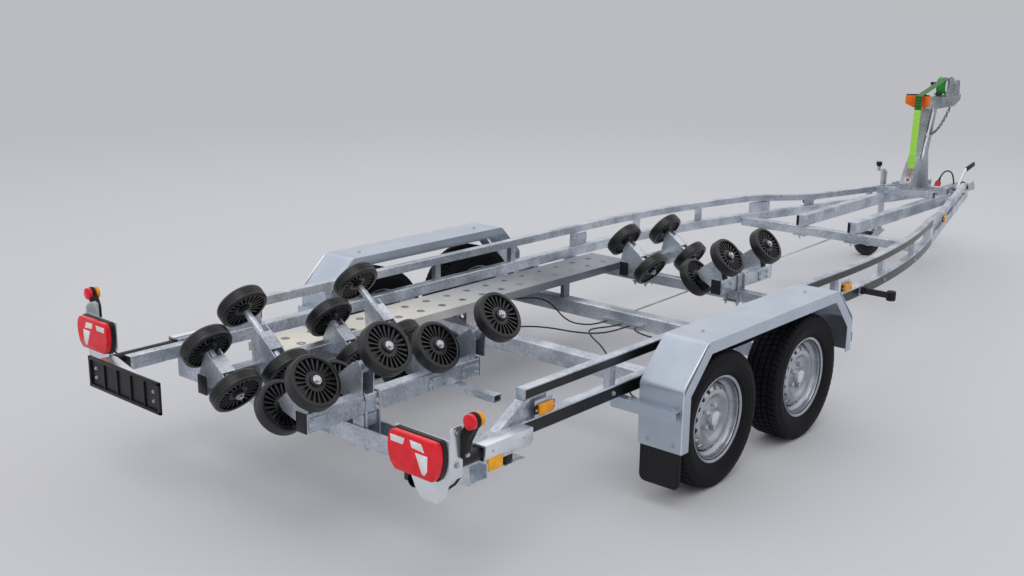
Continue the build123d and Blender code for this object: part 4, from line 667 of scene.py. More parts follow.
def build_rollers():
    """Twenty-four rollers on their rods, with nuts on the rods' ends."""
    shape, nuts = roller_mesh(), []
    for place, number, half in ROLLER_PAIRS:
        for hand, side in SIDES:
            pair = f"{place}_{hand}_{number}"
            along = Vector((0, side * cos(ROLLER_TILT), sin(ROLLER_TILT)))
            for end_name, end in (("low", -1), ("high", 1)):
                centre = middle(f"rollers_{pair}") + along * end * half
                piece = put(f"roller_{pair}_{end_name}", shape, "roller_rubber", None, f"roller_pair_{pair}",
                            axis_frame(centre, along))
                shape = piece.data
                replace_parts(piece, f"rollers_{pair}")
                nuts.append((centre + along * end * (ROLLER_HALF + 0.0025), along * end))
    bolts("roller_nuts", nuts, (0.021, 0.01, 0.018))


build_rollers()

# ---------------- tape along the rails
TAPE_LIFT, TAPE_T, TAPE_STEP = 0.0001, 0.0006, 0.06
# name, first and last station, lower and upper edge, share of the upper rail's drop
TAPES = (("upper_tape", -1.392, 3.05, 0.604, 0.638, 1), ("lower_tape", -1.42, 3.05, 0.46, 0.509, 0))


def build_tapes():
    """Thin black tapes on the rails' outer faces."""
    for hand, side in SIDES:
        for name, start, end, low, high, follows in TAPES:
            count = int((end - start) / TAPE_STEP)
            bm = bmesh.new()
            rows = []
            for k in range(count + 1):
                x = start + (end - start) * k / count
                base, outward = on_rail(x, side, 0), rail_axes(x, side)[1]
                rows.append([bm.verts.new(base + outward * off + Z * (z - upper_drop(x) * follows))
                             for off, z in rect(TAPE_LIFT, low, TAPE_T, high)])
            loft(bm, rows)
            put(f"{name}_{hand}", bm, "black_plastic", TAPE)


build_tapes()


# ---------------- flat and folded pieces
def slab(bm, outline, origin, u, v, w, depth, bevel=0.0, segments=2):
    """Adds a prism: outline in the directions u and v, pushed along w."""
    low, high = ([bm.verts.new(origin + u * a + v * b + w * far) for a, b in outline] for far in (0, depth))
    bm.faces.new(low)
    bm.faces.new(high)
    bridge(bm, [low, high])
    if bevel:
        edges = list({edge for vert in low + high for edge in vert.link_edges})
        bmesh.ops.bevel(bm, geom=edges, offset=bevel, segments=segments, affect="EDGES", profile=0.5,
                        clamp_overlap=True)


def arc_outline(start, through, end, steps):
    """Points of the arc through three points, both ends included."""
    (ax, ay), (bx, by), (cx, cy) = start, through, end
    a2, b2, c2 = ax * ax + ay * ay, bx * bx + by * by, cx * cx + cy * cy
    d = 2 * (ax * (by - cy) + bx * (cy - ay) + cx * (ay - by))
    ux = (a2 * (by - cy) + b2 * (cy - ay) + c2 * (ay - by)) / d
    uy = (a2 * (cx - bx) + b2 * (ax - cx) + c2 * (bx - ax)) / d
    first, mid, last = (atan2(y - uy, x - ux) for x, y in (start, through, end))
    while mid < first:
        mid += 2 * pi
    while last < first:
        last += 2 * pi
    if mid > last:
        last -= 2 * pi
    radius = hypot(ax - ux, ay - uy)
    turns = [first + (last - first) * k / steps for k in range(steps + 1)]
    return [(ux + radius * cos(a), uy + radius * sin(a)) for a in turns]


# ---------------- lamps
LAMP_Y, LAMP_Z, LAMP_W, LAMP_H, LAMP_D = 0.985, 0.605, 0.24, 0.145, 0.045
HOUSING_D, LENS_FROM, LENS_D = LAMP_D * 0.45, LAMP_D * 0.4, LAMP_D * 0.6 - 0.001
CARRIER_REAR, BACK_T = -2.012, 0.004
SIDE_PLATE_Y = LAMP_Y + LAMP_W / 2 + 0.004
MARKER_X, MARKER_Y, MARKER_Z, MARKER_R, MARKER_L = -1.95, 1.156, 0.742, 0.028, 0.056
MARKER_DOME = 0.003
# round marker: name, start and end as shares of its length, share of its radius, slot
MARKER_PARTS = (("rear", -0.5, -0.14, 0.93, "lamp_red"), ("body", -0.14, 0.14, 1.0, "black_rubber"),
                ("front", 0.14, 0.5, 0.93, "amber"))
# corners of the clear panels in the lamp's lens, outward along the lamp and up, as shares of its half size
LAMP_PANELS = (((-0.86, 0.72), (-0.3, 0.72), (-0.36, 0.4), (-0.84, 0.4)),
               ((-0.1, 0.74), (0.34, 0.72), (0.46, 0.34), (-0.02, 0.4)),
               ((0.1, 0.22), (0.58, 0.22), (0.56, -0.5), (0.46, -0.74), (0.36, -0.7)))
# rubber arm of the round marker, seen from behind
MARKER_ARM = ((SIDE_PLATE_Y, LAMP_Z - 0.002), (SIDE_PLATE_Y + 0.012, LAMP_Z - 0.004),
              (SIDE_PLATE_Y + 0.02, LAMP_Z + 0.02), (SIDE_PLATE_Y + 0.024, LAMP_Z + 0.06),
              (MARKER_Y + 0.016, MARKER_Z - 0.016), (MARKER_Y - 0.014, MARKER_Z + 0.014),
              (SIDE_PLATE_Y + 0.004, LAMP_Z + 0.095), (SIDE_PLATE_Y, LAMP_Z + 0.08))


def lamp_outline(shrink=0.0):
    """Outline of the rear lamp: flat top and bottom, bulging sides."""
    w, h = LAMP_W / 2 - shrink, LAMP_H / 2 - shrink
    points = [(w - 0.018, h), (0.018 - w, h)]
    points += arc_outline((0.008 - w, h - 0.008), (-w, 0.008), (0.02 - w, 0.01 - h), 10)
    points += [(0.03 - w, -h), (w - 0.03, -h)]
    points += arc_outline((w - 0.02, 0.01 - h), (w, 0.008), (w - 0.008, h - 0.008), 10)
    return points


def build_lamps():
    """Rear lamps with clear panels, and the round markers on rubber arms."""
    for hand, side in SIDES:
        body, out = f"lamp_slide_{hand}", Y * side
        face = at(CARRIER_REAR - BACK_T, side * LAMP_Y, LAMP_Z)
        housing, lens, panels, arm = (bmesh.new() for _ in range(4))
        slab(housing, lamp_outline(), face, out, Z, -X, HOUSING_D, 0.002)
        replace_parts(put(f"lamp_housing_{hand}", housing, "black_plastic", None, body), f"lamps_{hand}")
        slab(lens, lamp_outline(0.003), face - X * LENS_FROM, out, Z, -X, LENS_D, 0.008, 4)
        put(f"lamp_lens_{hand}", lens, "lamp_red", None, body)
        for panel in LAMP_PANELS:
            outline = [(a * LAMP_W / 2, b * LAMP_H / 2) for a, b in panel]
            slab(panels, outline, face - X * (LAMP_D - 0.0015), out, Z, -X, 0.0014, 0.0006)
        put(f"lamp_panels_{hand}", panels, "lamp_red", WHITE, body)

        slab(arm, MARKER_ARM, at(MARKER_X - 0.015, 0, 0), out, Z, X, 0.03, 0.004)
        put(f"marker_arm_{hand}", arm, "black_rubber", None, body)
        lay = axis_frame(at(MARKER_X, side * MARKER_Y, MARKER_Z), X)
        for name, low, high, share, slot in MARKER_PARTS:
            start, end, r = low * MARKER_L, high * MARKER_L, MARKER_R * share
            profile = [(0.0, start), (r * 0.8, start), (r, start + MARKER_DOME), (r, end - MARKER_DOME),
                       (r * 0.8, end), (0.0, end)]
            put(f"marker_{name}_{hand}", turned(profile, 40), slot, None, body, lay)
        place = at(MARKER_X, side * (SIDE_PLATE_Y + 0.017), LAMP_Z + 0.012)
        bolts(f"marker_bolts_{hand}", [(place, out)], (0.012, 0.006, 0.009), body)


build_lamps()

# ---------------- side markers, reflectors, position lamps
TAB_X = (-1.285, 1.265, 3.59)
TAB_L, TAB_T, TAB_TOP = 0.104, 0.004, 0.582
MARK_D, MARK_Z, MARK_HALF_L, MARK_HALF_H = 0.018, 0.546, 0.054, 0.0215
SLEEVE_Y, SLEEVE_Z, SLEEVE_W, SLEEVE_H = 0.936, 0.49, 0.072, 0.066
REFLECTOR_X, REFLECTOR_TOP, REFLECTOR_L, REFLECTOR_H, REFLECTOR_T = -1.68, 0.474, 0.076, 0.048, 0.006
POSITION_X, POSITION_Z = 1.47, 0.489
POSITION_REACH = Vector((0.88, 0.42, -0.24)).normalized()
POSITION_LAMP = mirrored(((0.0, 0.027), (0.022, 0.027), (0.026, 0.022)))


def build_side_markers():
    """Amber markers on their tabs, amber reflectors, and the front position lamps on rubber arms."""
    backs, lenses, reflectors, arms, tabs = (bmesh.new() for _ in range(5))
    studs = []
    for hand, side in SIDES:
        for x in TAB_X:
            along, outward = rail_axes(x, side)
            face = on_rail(x, side, MARK_Z)
            back = centred(MARK_HALF_L + 0.006, MARK_HALF_H - 0.004)
            slab(backs, back, face, along, Z, outward, 0.006, 0.002)
            tab = rect(-TAB_L / 2, LOW_TOP, TAB_L / 2, min(TAB_TOP, UP_TOP - UP_H - upper_drop(x)))
            slab(tabs, tab, face - Z * MARK_Z, along, Z, -outward, TAB_T, 0.001)
            lens = centred(MARK_HALF_L - 0.012, MARK_HALF_H)
            slab(lenses, lens, face + outward * 0.004, along, Z, outward, MARK_D - 0.004, 0.004)
            studs += [(face + along * (end * (MARK_HALF_L - 0.002)) + outward * 0.006, outward)
                      for end in (-1, 1)]
        corner = at(REFLECTOR_X, side * (SLEEVE_Y + SLEEVE_W / 2), REFLECTOR_TOP - REFLECTOR_H)
        pane = rect(0.001, 0.0, REFLECTOR_L, REFLECTOR_H)
        slab(reflectors, pane, corner, X, Z, Y * side, REFLECTOR_T, 0.0015)

        along, outward = rail_axes(POSITION_X, side)
        reach = Vector((POSITION_REACH.x, side * POSITION_REACH.y, POSITION_REACH.z))
        across = reach.cross(Z).normalized()
        mount = on_rail(POSITION_X, side, POSITION_Z)
        foot = mount + Y * side * 0.018
        slab(tabs, centred(0.03, 0.026), mount, along, Z, outward, 0.003, 0.001)
        slab(arms, rect(-0.024, -0.02, 0.012, 0.02), mount + outward * 0.003, along, Z, outward, 0.02, 0.003)
        slab(arms, centred(0.013, 0.017), foot, across, across.cross(reach), reach, 0.195, 0.005)
        add_turned(arms, POSITION_LAMP, 36, foot + reach * 0.2, Z)
    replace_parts(put("marker_bases", backs, "black_plastic"), "side_markers")
    put("marker_lenses", lenses, "amber")
    put("side_reflectors", reflectors, "amber", YELLOW)
    put("position_arms", arms, "black_rubber")
    put("marker_tabs", tabs, "galvanised", SHEET)
    bolts("marker_studs", studs, (0.007, 0.003, 0.005))


build_side_markers()


# ---------------- bars, clamps and caps
def bar(bm, points, radius, sides=10):
    """Adds a round bar through points, with flat ends."""
    rings, normal = [], None
    for k, point in enumerate(points):
        tangent = (points[min(k + 1, len(points) - 1)] - points[max(k - 1, 0)]).normalized()
        normal = tangent.orthogonal() if normal is None else normal - tangent * normal.dot(tangent)
        normal.normalize()
        across = tangent.cross(normal)
        rings.append([bm.verts.new(point + (normal * cos(a) + across * sin(a)) * radius)
                      for a in even_angles(sides)])
    loft(bm, rings)


# across the flats, height and washer's radius of the U-bolts' nuts
CLAMP_NUT = (0.015, 0.008, 0.011)


def u_bolt(bm, base, leg, across, half, length, radius=0.005):
    """Adds a U-bolt: its bend lies at base, its legs run along leg with nuts near their ends."""
    bend = half * 0.45
    points = [base - across * half + leg * length]
    for end, turns in ((-1, (0, 30, 60, 90)), (1, (90, 60, 30, 0))):
        for a in map(radians, turns):
            points.append(base + across * end * (half - bend + bend * cos(a)) + leg * bend * (1 - sin(a)))
    points.append(base + across * half + leg * length)
    bar(bm, points, radius, 8)
    for end in (-1, 1):
        hex_bolt(bm, base + across * half * end + leg * (length - 0.016), leg, CLAMP_NUT)


def tube_cap(bm, place, outward, width, height, depth=0.004):
    """Adds a plastic plug over a tube's end."""
    across, w, h = outward.cross(Z), width / 2, height / 2
    slab(bm, centred(w, h), place, across, Z, outward, depth, 0.0015)
    slab(bm, centred(w - 0.006, h - 0.006), place - outward * 0.012, across, Z, outward, 0.013)


BEAM_Y, BEAM_W, BEAM_H = 0.31, 0.06, 0.08
CHANNEL_X, CHANNEL_LOW, MIDDLE_X, MIDDLE_H = -1.65, 0.43 - 0.075, 1.125, 0.06
# ends, underside and roller pairs of a beam, station and underside of the member that it's clamped to
BEAMS = (((-1.97, -1.035), 0.479, (-1.93, -1.67, -1.29, -1.035), CHANNEL_X, CHANNEL_LOW),
         ((0.915, 1.47), 0.463, (0.955, 1.375), MIDDLE_X, LOW_BOTTOM - MIDDLE_H))
FRONT_X, FRONT_TOP, FRONT_H, DECK_TOP = 2.87, 0.498, 0.06, 0.628
INNER_Y, INNER_W, INNER_REAR = 0.19, 0.06, 2.835
RAIL_RIVETS = (-0.84, -0.06, 0.57, 1.165, 1.81, 2.44)
# side plates of the beams, U-bolts on either side of a saddle, bolts through the stand's foot
CLAMP_T, SIDE_HALF, SIDE_MARGIN, U_BOLT_X = 0.005, (0.05, 0.026), 0.058, 0.034
STAND_BOLT_X, STAND_BOLT_Y = (4.15, 4.42), 0.185


def build_clamps():
    """Plates, U-bolts and plugs of the roller beams, end plates of the inner beams with a black strip of
    painted shade, bolts of the stand, rivets of the rails.
    """
    plates, clamps, plugs = bmesh.new(), bmesh.new(), bmesh.new()
    studs = []
    half = BEAM_W / 2 + 0.006
    for ends, beam_z, pairs, saddle_x, low in BEAMS:
        top = beam_z + BEAM_H
        for _, side in SIDES:
            y = side * BEAM_Y
            for end, x in zip((-1, 1), ends):
                tube_cap(plugs, at(x, y, beam_z + BEAM_H / 2), X * end, BEAM_W, BEAM_H)
            for pair_x in pairs:
                plate_x = min(max(pair_x, ends[0] + SIDE_MARGIN), ends[1] - SIDE_MARGIN)
                outer = at(plate_x, y + side * BEAM_W / 2, beam_z + BEAM_H * 0.42)
                slab(plates, centred(*SIDE_HALF), outer, X, Z, Y * side, CLAMP_T, 0.002)
                studs += [(outer + X * dx + Z * dz + Y * side * CLAMP_T, Y * side)
                          for dx in (-0.04, 0.04) for dz in (-0.015, 0.015)]
            for dx in (-U_BOLT_X, U_BOLT_X):
                u_bolt(clamps, at(saddle_x + dx, y, top + 0.005), -Z, Y, half, top + 0.03 - low)
            under = at(saddle_x, y, low - CLAMP_T)
            slab(plates, centred(0.05, half + 0.014), under, X, Y, Z, CLAMP_T, 0.0015)
    for _, side in SIDES:
        y, low = side * INNER_Y, FRONT_TOP - FRONT_H - CLAMP_T
        tail = at(INNER_REAR, y, FRONT_TOP)
        slab(plates, rect(-INNER_W / 2, 0.0, INNER_W / 2, 0.08), tail, Y, Z, -X, 0.003, 0.001)
        # black strip on the inner beam's end plate: painted shade of the end's slanted cut
        slab(plugs, rect(0.01, 0.006, 0.028, 0.074), tail - X * 0.003, Y, Z, -X, 0.002)
        for dx in (-0.03, 0.03):
            base = at(FRONT_X + dx, y, low)
            bar(clamps, [base, base - Z * 0.022], 0.005, 8)
            hex_bolt(clamps, base, -Z, CLAMP_NUT)
        slab(plates, centred(0.05, 0.048), at(FRONT_X, y, low), X, Y, Z, CLAMP_T, 0.0015)
        studs += [(at(x + dx, side * STAND_BOLT_Y, DECK_TOP), Z)
                  for x in STAND_BOLT_X for dx in (-0.012, 0.012)]
        for x in RAIL_RIVETS:
            outward = rail_axes(x, side)[1]
            studs.append((on_rail(x, side, LOW_TOP - LOW_H * 0.5) + outward * 0.0008, outward))
    put("clamp_plates", plates, "galvanised", SHEET)
    put("u_bolts", clamps, "zinc", BOLT)
    put("beam_plugs_and_end_shade", plugs, "black_plastic")
    bolts("clamp_bolts", studs, (0.014, 0.007, 0.01))


build_clamps()

# ---------------- rollers' brackets and the walkway
EAR_REACH, EAR_TOP, EAR_HALF = {SHORT_HALF: (-0.044, 0.044), LONG_HALF: (-0.084, 0.012)}, 0.022, 0.033
WALK_HOLES, WALK_PITCH, WALK_ROWS = 16, 0.15, 0.1125
# flat ring round each walkway hole, painted dark: painted shade of the hole's dished rim
WALK_RIM_SHADE = ((0.0115, 0.0), (0.0215, 0.0), (0.02, 0.0012), (0.013, 0.0012))


def build_brackets():
    """Folded tops of the brackets round the rollers' rods."""
    tops = bmesh.new()
    for beam, number, half in ROLLER_PAIRS:
        low, high = EAR_REACH[half]
        for hand, side in SIDES:
            along = Vector((0, side * cos(ROLLER_TILT), sin(ROLLER_TILT)))
            above = Vector((0, -side * sin(ROLLER_TILT), cos(ROLLER_TILT)))
            rod = middle(f"rollers_{beam}_{hand}_{number}")
            ear = rect(low, -EAR_HALF, high, EAR_HALF)
            slab(tops, ear, rod + above * EAR_TOP, along, X, above, 0.004, 0.0025)
    put("bracket_tops", tops, "galvanised")


def build_walk_rim_shade():
    """Flat dark rings round the walkway's holes: painted shade of their dished rims."""
    rims = bmesh.new()
    for k in range(WALK_HOLES):
        x = (WALK_REAR + WALK_FRONT) / 2 + (k - (WALK_HOLES - 1) / 2) * WALK_PITCH
        for row in (-0.5, 0.5):
            add_turned(rims, WALK_RIM_SHADE, 24, at(x, WALK_MIDDLE + row * WALK_ROWS, WALK_TOP), Z)
    put("walkway_rim_shade", rims, "galvanised", CHAIN_STEEL_AND_RIM_SHADE)


build_brackets()
build_walk_rim_shade()

# ---------------- fenders
FENDER_IN, FENDER_OUT, FENDER_TOP, FENDER_HALF = 0.97, 1.185, 0.7, 0.75
FLAP_LOW, FLAP_HIGH, FLAP_RIVET_Z, FLAP_X = 0.117, 0.255, 0.295, -FENDER_HALF + 0.0015
# the outer edge as (station, height)
FENDER_EDGE = ((-0.7515, 0.27), (-0.7515, 0.535), (-0.745, 0.552), (-0.6, 0.689), (-0.585, 0.698),
               (0.585, 0.698), (0.6, 0.689), (0.745, 0.552), (0.7515, 0.535), (0.7515, 0.375))


def build_fender_trim():
    """Rolled edge and rivets of the fenders, bolts of their bars, and the flaps' raised border."""
    edge, border, studs = bmesh.new(), bmesh.new(), []
    inner, outer, cut = FENDER_IN + 0.024, FENDER_OUT - 0.018, 0.02
    corners = ((inner, FLAP_HIGH), (inner, FLAP_LOW + cut), (inner + cut, FLAP_LOW), (outer - cut, FLAP_LOW),
               (outer, FLAP_LOW + cut), (outer, FLAP_HIGH))
    for _, side in SIDES:
        bar(edge, [at(x, side * (FENDER_OUT - 0.003), z - 0.002) for x, z in FENDER_EDGE], 0.003, 8)
        studs += [(at(-FENDER_HALF - 0.0015, side * y, FLAP_RIVET_Z), -X)
                  for y in (FENDER_IN + 0.045, FENDER_OUT - 0.045)]
        studs += [(at(end * (FENDER_HALF + 0.0215), side * y, LOW_BOTTOM), Z)
                  for end in (-1, 1) for y in (0.935, FENDER_OUT - 0.035)]
        studs += [(at(x, side * (FENDER_IN + 0.1), FENDER_TOP + 0.0015), Z) for x in (-0.45, 0.45)]
        bar(border, [at(FLAP_X, side * y, z) for y, z in corners], 0.0016, 6)
    put("fender_edges", edge, "galvanised", BRIGHT)
    put("flap_borders", border, "black_rubber")
    bolts("fender_bolts", studs, (0.012, 0.005, 0.009))


build_fender_trim()

# ---------------- lamp carriers and number plate holder
CARRIER_R, CARRIER_FRONT = 0.025, -1.47
CARRIER_L = CARRIER_FRONT - CARRIER_REAR
CARRIER = ((0.022, CARRIER_L), (0.022, 0.0), (CARRIER_R - 0.001, 0.0), (CARRIER_R, 0.001),
           (CARRIER_R, CARRIER_L))
COVER_W, COVER_H, COVER_T = 0.044, 0.048, 0.004
CLAMP_REAR, CLAMP_L, LOW_REAR, TAIL_REAR = -1.69, 0.25, -1.8, -1.965
SLEEVE_OUT = SLEEVE_Y + SLEEVE_W / 2
SLEEVE_TOP, SLEEVE_LOW = SLEEVE_Z + SLEEVE_H / 2, SLEEVE_Z - SLEEVE_H / 2
# board behind the lamp: outward and up from the lamp's middle
BOARD = ((-0.124, 0.072), (-0.124, -0.05), (-0.06, -0.074), (-0.034, -0.13), (-0.004, -0.163),
         (0.07, -0.163), (0.108, -0.125), (0.124, -0.074), (0.124, 0.072))
# side plate of the board: forward from it and up
SIDE_PLATE = ((0.0, LAMP_Z - 0.07), (0.06, LAMP_Z - 0.07), (0.06, LAMP_Z + 0.1), (0.048, LAMP_Z + 0.112),
              (0.012, LAMP_Z + 0.112), (0.0, LAMP_Z + 0.1))
LAMP_LEAD = ((CARRIER_REAR + 0.002, 0.045, 0.545), (-1.985, 0.045, 0.54), (-1.955, 0.045, 0.505),
             (-1.93, 0.045, 0.455), (-1.895, 0.045, 0.432), (-1.85, 0.04, 0.436), (-1.812, 0.032, 0.452))
# folded cover over the sleeve's outer top corner, outward and up
COVER = ((SLEEVE_OUT - COVER_W, SLEEVE_TOP), (SLEEVE_OUT, SLEEVE_TOP), (SLEEVE_OUT, SLEEVE_TOP - COVER_H),
         (SLEEVE_OUT + COVER_T, SLEEVE_TOP - COVER_H), (SLEEVE_OUT + COVER_T, SLEEVE_TOP + COVER_T),
         (SLEEVE_OUT - COVER_W, SLEEVE_TOP + COVER_T))


def build_carriers():
    """Black sliding tubes with their boards, brackets, covers and lamp leads."""
    covers, sleeves, tails, blocks, studs = bmesh.new(), bmesh.new(), bmesh.new(), bmesh.new(), []
    half_w, half_h, bore = SLEEVE_W / 2, SLEEVE_H / 2, CARRIER_R + 0.001
    walls = ((-half_w, bore, half_w, half_h), (-half_w, -half_h, half_w, -bore),
             (-half_w, -bore, -bore, bore), (bore, -bore, half_w, bore))
    for hand, side in SIDES:
        body, out = f"lamp_slide_{hand}", Y * side
        carrier = put(f"carrier_tube_{hand}", turned(CARRIER, 40), "black_plastic", None, body,
                      axis_frame(at(CARRIER_REAR, side * SLEEVE_Y, SLEEVE_Z), X))
        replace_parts(carrier, f"lamp_carrier_{hand}")
        board = bmesh.new()
        slab(board, BOARD, at(CARRIER_REAR - BACK_T, side * LAMP_Y, LAMP_Z), out, Z, X, BACK_T, 0.001)
        slab(board, SIDE_PLATE, at(CARRIER_REAR, side * SIDE_PLATE_Y, 0), X, Z, -out, BACK_T, 0.001)
        put(f"lamp_board_{hand}", board, "zinc", BRIGHT, body)
        holes = [(at(CARRIER_REAR + 0.03, side * SIDE_PLATE_Y, LAMP_Z + dz), out) for dz in (0.092, -0.02)]
        bolts(f"arm_bolts_{hand}", holes, (0.013, 0.007, 0.012), body)
        lead = bmesh.new()
        bar(lead, [at(x, side * (SLEEVE_Y + y), z) for x, y, z in LAMP_LEAD], 0.0045, 8)
        put(f"lamp_lead_{hand}", lead, "black_rubber", None, body)
        for wall in walls:
            slab(sleeves, rect(*wall), at(CLAMP_REAR, side * SLEEVE_Y, SLEEVE_Z), out, Z, X, CLAMP_L)
        slab(covers, COVER, at(CLAMP_REAR - 0.004, 0, 0), out, Z, X, CLAMP_L + 0.008, 0.001)
        studs += [(at(CLAMP_REAR + x, side * (SLEEVE_OUT + COVER_T), SLEEVE_TOP - COVER_H * 0.45), out)
                  for x in (0.034, 0.205)]
        under = at(CLAMP_REAR, side * (SLEEVE_OUT - 0.034), SLEEVE_LOW - 0.034)
        slab(blocks, rect(0.11, 0.0, 0.146, 0.034), under, X, Z, out, 0.034, 0.003)
        under = at(CLAMP_REAR, side * (SLEEVE_OUT - 0.05), SLEEVE_LOW - 0.0375)
        slab(covers, rect(0.1, 0.0, 0.21, 0.003), under, X, Z, out, 0.056, 0.001)
        rail_end = side * (RAIL_OUT - LOW_W / 2)
        slab(tails, rect(-LOW_W / 2, LOW_BOTTOM, LOW_W / 2, LOW_TOP), at(TAIL_REAR, rail_end, 0), Y, Z, X,
             LOW_REAR - TAIL_REAR, 0.003)
        tube_cap(blocks, at(TAIL_REAR, rail_end, LOW_TOP - LOW_H / 2), -X, LOW_W, LOW_H)
    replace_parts(put("sleeve_clamps", sleeves, "galvanised"), "lamp_sleeves")
    put("sleeve_covers", covers, "galvanised", BRIGHT)
    put("rail_tails", tails, "galvanised")
    put("sleeve_blocks", blocks, "black_plastic")
    bolts("cover_bolts", studs, (0.01, 0.005, 0))


PLATE_Y, PLATE_Z, BRACKET_Z, TAIL = 0.642, 0.48, 0.52, 2.13
PLATE_HALF_W, PLATE_HALF_H, PLATE_EDGE, PLATE_RIBS = 0.265, 0.068, 0.014, (-0.15, -0.05, 0.05, 0.15)


def build_plate_holder():
    """Black frame with ribs, dished panels between them, and its pale bracket sheet."""
    holder, sheet = bmesh.new(), bmesh.new()
    rear = at(-TAIL, PLATE_Y, PLATE_Z)
    w, h, edge = PLATE_HALF_W, PLATE_HALF_H, PLATE_EDGE
    border = ((-w, -h, w, edge - h), (-w, h - edge, w, h), (-w, -h, edge - w, h), (w - edge, -h, w, h))
    for corners in border:
        slab(holder, rect(*corners), rear, Y, Z, X, 0.012, 0.002)
    for y in PLATE_RIBS:
        slab(holder, rect(y - 0.005, -h + 0.01, y + 0.005, h - 0.01), rear + X * 0.002, Y, Z, X, 0.01, 0.002)
    slab(holder, centred(w - 0.01, h - 0.01), rear + X * 0.009, Y, Z, X, 0.0025)
    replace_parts(put("plate_frame", holder, "black_plastic", None, "lamp_slide_left"), "plate_holder")
    front, face = 0.012 - TAIL, CARRIER_REAR - BACK_T
    outline = ((front, 0.9), (front, 0.43), (face, 0.866), (face, 0.9))
    slab(sheet, outline, at(0, 0, BRACKET_Z), X, Y, Z, 0.004, 0.001)
    put("plate_bracket", sheet, "zinc", BRIGHT, "lamp_slide_left")
    heads = [(rear + Y * y + Z * z + X * 0.009, -X) for y in (-0.215, 0.215) for z in (-0.02, 0.02)]
    bolts("plate_bolts", heads, (0.01, 0.005, 0.008), "lamp_slide_left")


build_carriers()
build_plate_holder()

# ---------------- winch, strap and bow stop
ARM_TOP, WINCH_X, WINCH_Z = 1.3, 4.7, 1.378
DRUM_HALF, CHEEK_T, STRAP_DRUM_R, FLANGE_DRUM_R, STRAP_W = 0.041, 0.004, 0.062, 0.07, 0.05
CHEEK = ((-0.05, 0.0), (0.09, 0.0), (0.078, 0.128), (0.03, 0.15), (-0.012, 0.146), (-0.016, 0.06),
         (-0.05, 0.022))
AXLE_Y, AXLE_R = (-0.04, 0.075), 0.0095
CRANK_R, CRANK_REACH, CRANK_Y, CRANK_T = 0.0096, 0.163, 0.068, 0.006
KNOB = ((0.006, 0.0), (0.0125, 0.0), (0.014, 0.004), (0.013, 0.04), (0.014, 0.082), (0.012, 0.089),
        (0.006, 0.09))
GEAR_X, GEAR_W = 4.87, 0.08
GEAR_SIDE = ((-0.06, 0.0), (0.06, 0.0), (0.06, 0.07), (0.04, 0.115), (-0.05, 0.115), (-0.06, 0.09))
# bolts as distances along and up from the middle of the gear housing and of the drum
GEAR_BOLTS = ((-0.045, 0.018), (0.045, 0.018), (-0.04, 0.09), (0.03, 0.09))
CHEEK_BOLTS = ((-0.06, 0.015), (0.065, 0.015), (-0.02, 0.125))
STOP_X, STOP_LOW, STOP_H, STOP_HALF_W, STOP_T, STOP_V = 4.245, 1.233, 0.097, 0.083, 0.024, 0.04
STRAP_Y = -0.018
STRAP_TOP = ((4.69, 1.441), (4.225, 1.338), (4.182, 1.328), (4.18, 1.225))
STRAP_LOW = ((4.18, 1.225), (4.158, 0.785))
SEAMS = (0.07, 0.1, 0.13, 0.16, 0.19, 0.22)
HOOK_BEND = ((0.0, -0.015), (0.006, -0.025), (0.014, -0.039), (0.016, -0.053), (0.01, -0.065), (0.0, -0.07),
             (-0.009, -0.066), (-0.013, -0.055))
TUBE_TOP, TUBE_FOOT = (4.392, -0.0555, 1.222), (4.262, -0.0555, 0.85)
CHAIN_FROM, CHAIN_TO, CHAIN_LINKS, CHAIN_SAG = (4.76, -0.04, 1.208), (4.35, -0.07, 1.035), 16, 0.04


def ring_points(place, count):
    """Closed line of the points that place gives for each angle of a turn."""
    points = [place(cos(a), sin(a)) for a in even_angles(count)]
    return points + points[:1]


def ribbon(bm, points, width, thickness, lift=0.0):
    """Adds a flat strap through (station, height) points, lifted off them by lift."""
    rings = []
    for k, (x, z) in enumerate(points):
        before, after = points[max(k - 1, 0)], points[min(k + 1, len(points) - 1)]
        off = -Vector((after[0] - before[0], 0, after[1] - before[1])).normalized().cross(Y)
        centre = at(x, STRAP_Y, z) + off * lift
        rings.append([bm.verts.new(centre + Y * a * width / 2 + off * b * thickness / 2)
                      for a, b in centred(1, 1)])
    loft(bm, rings)


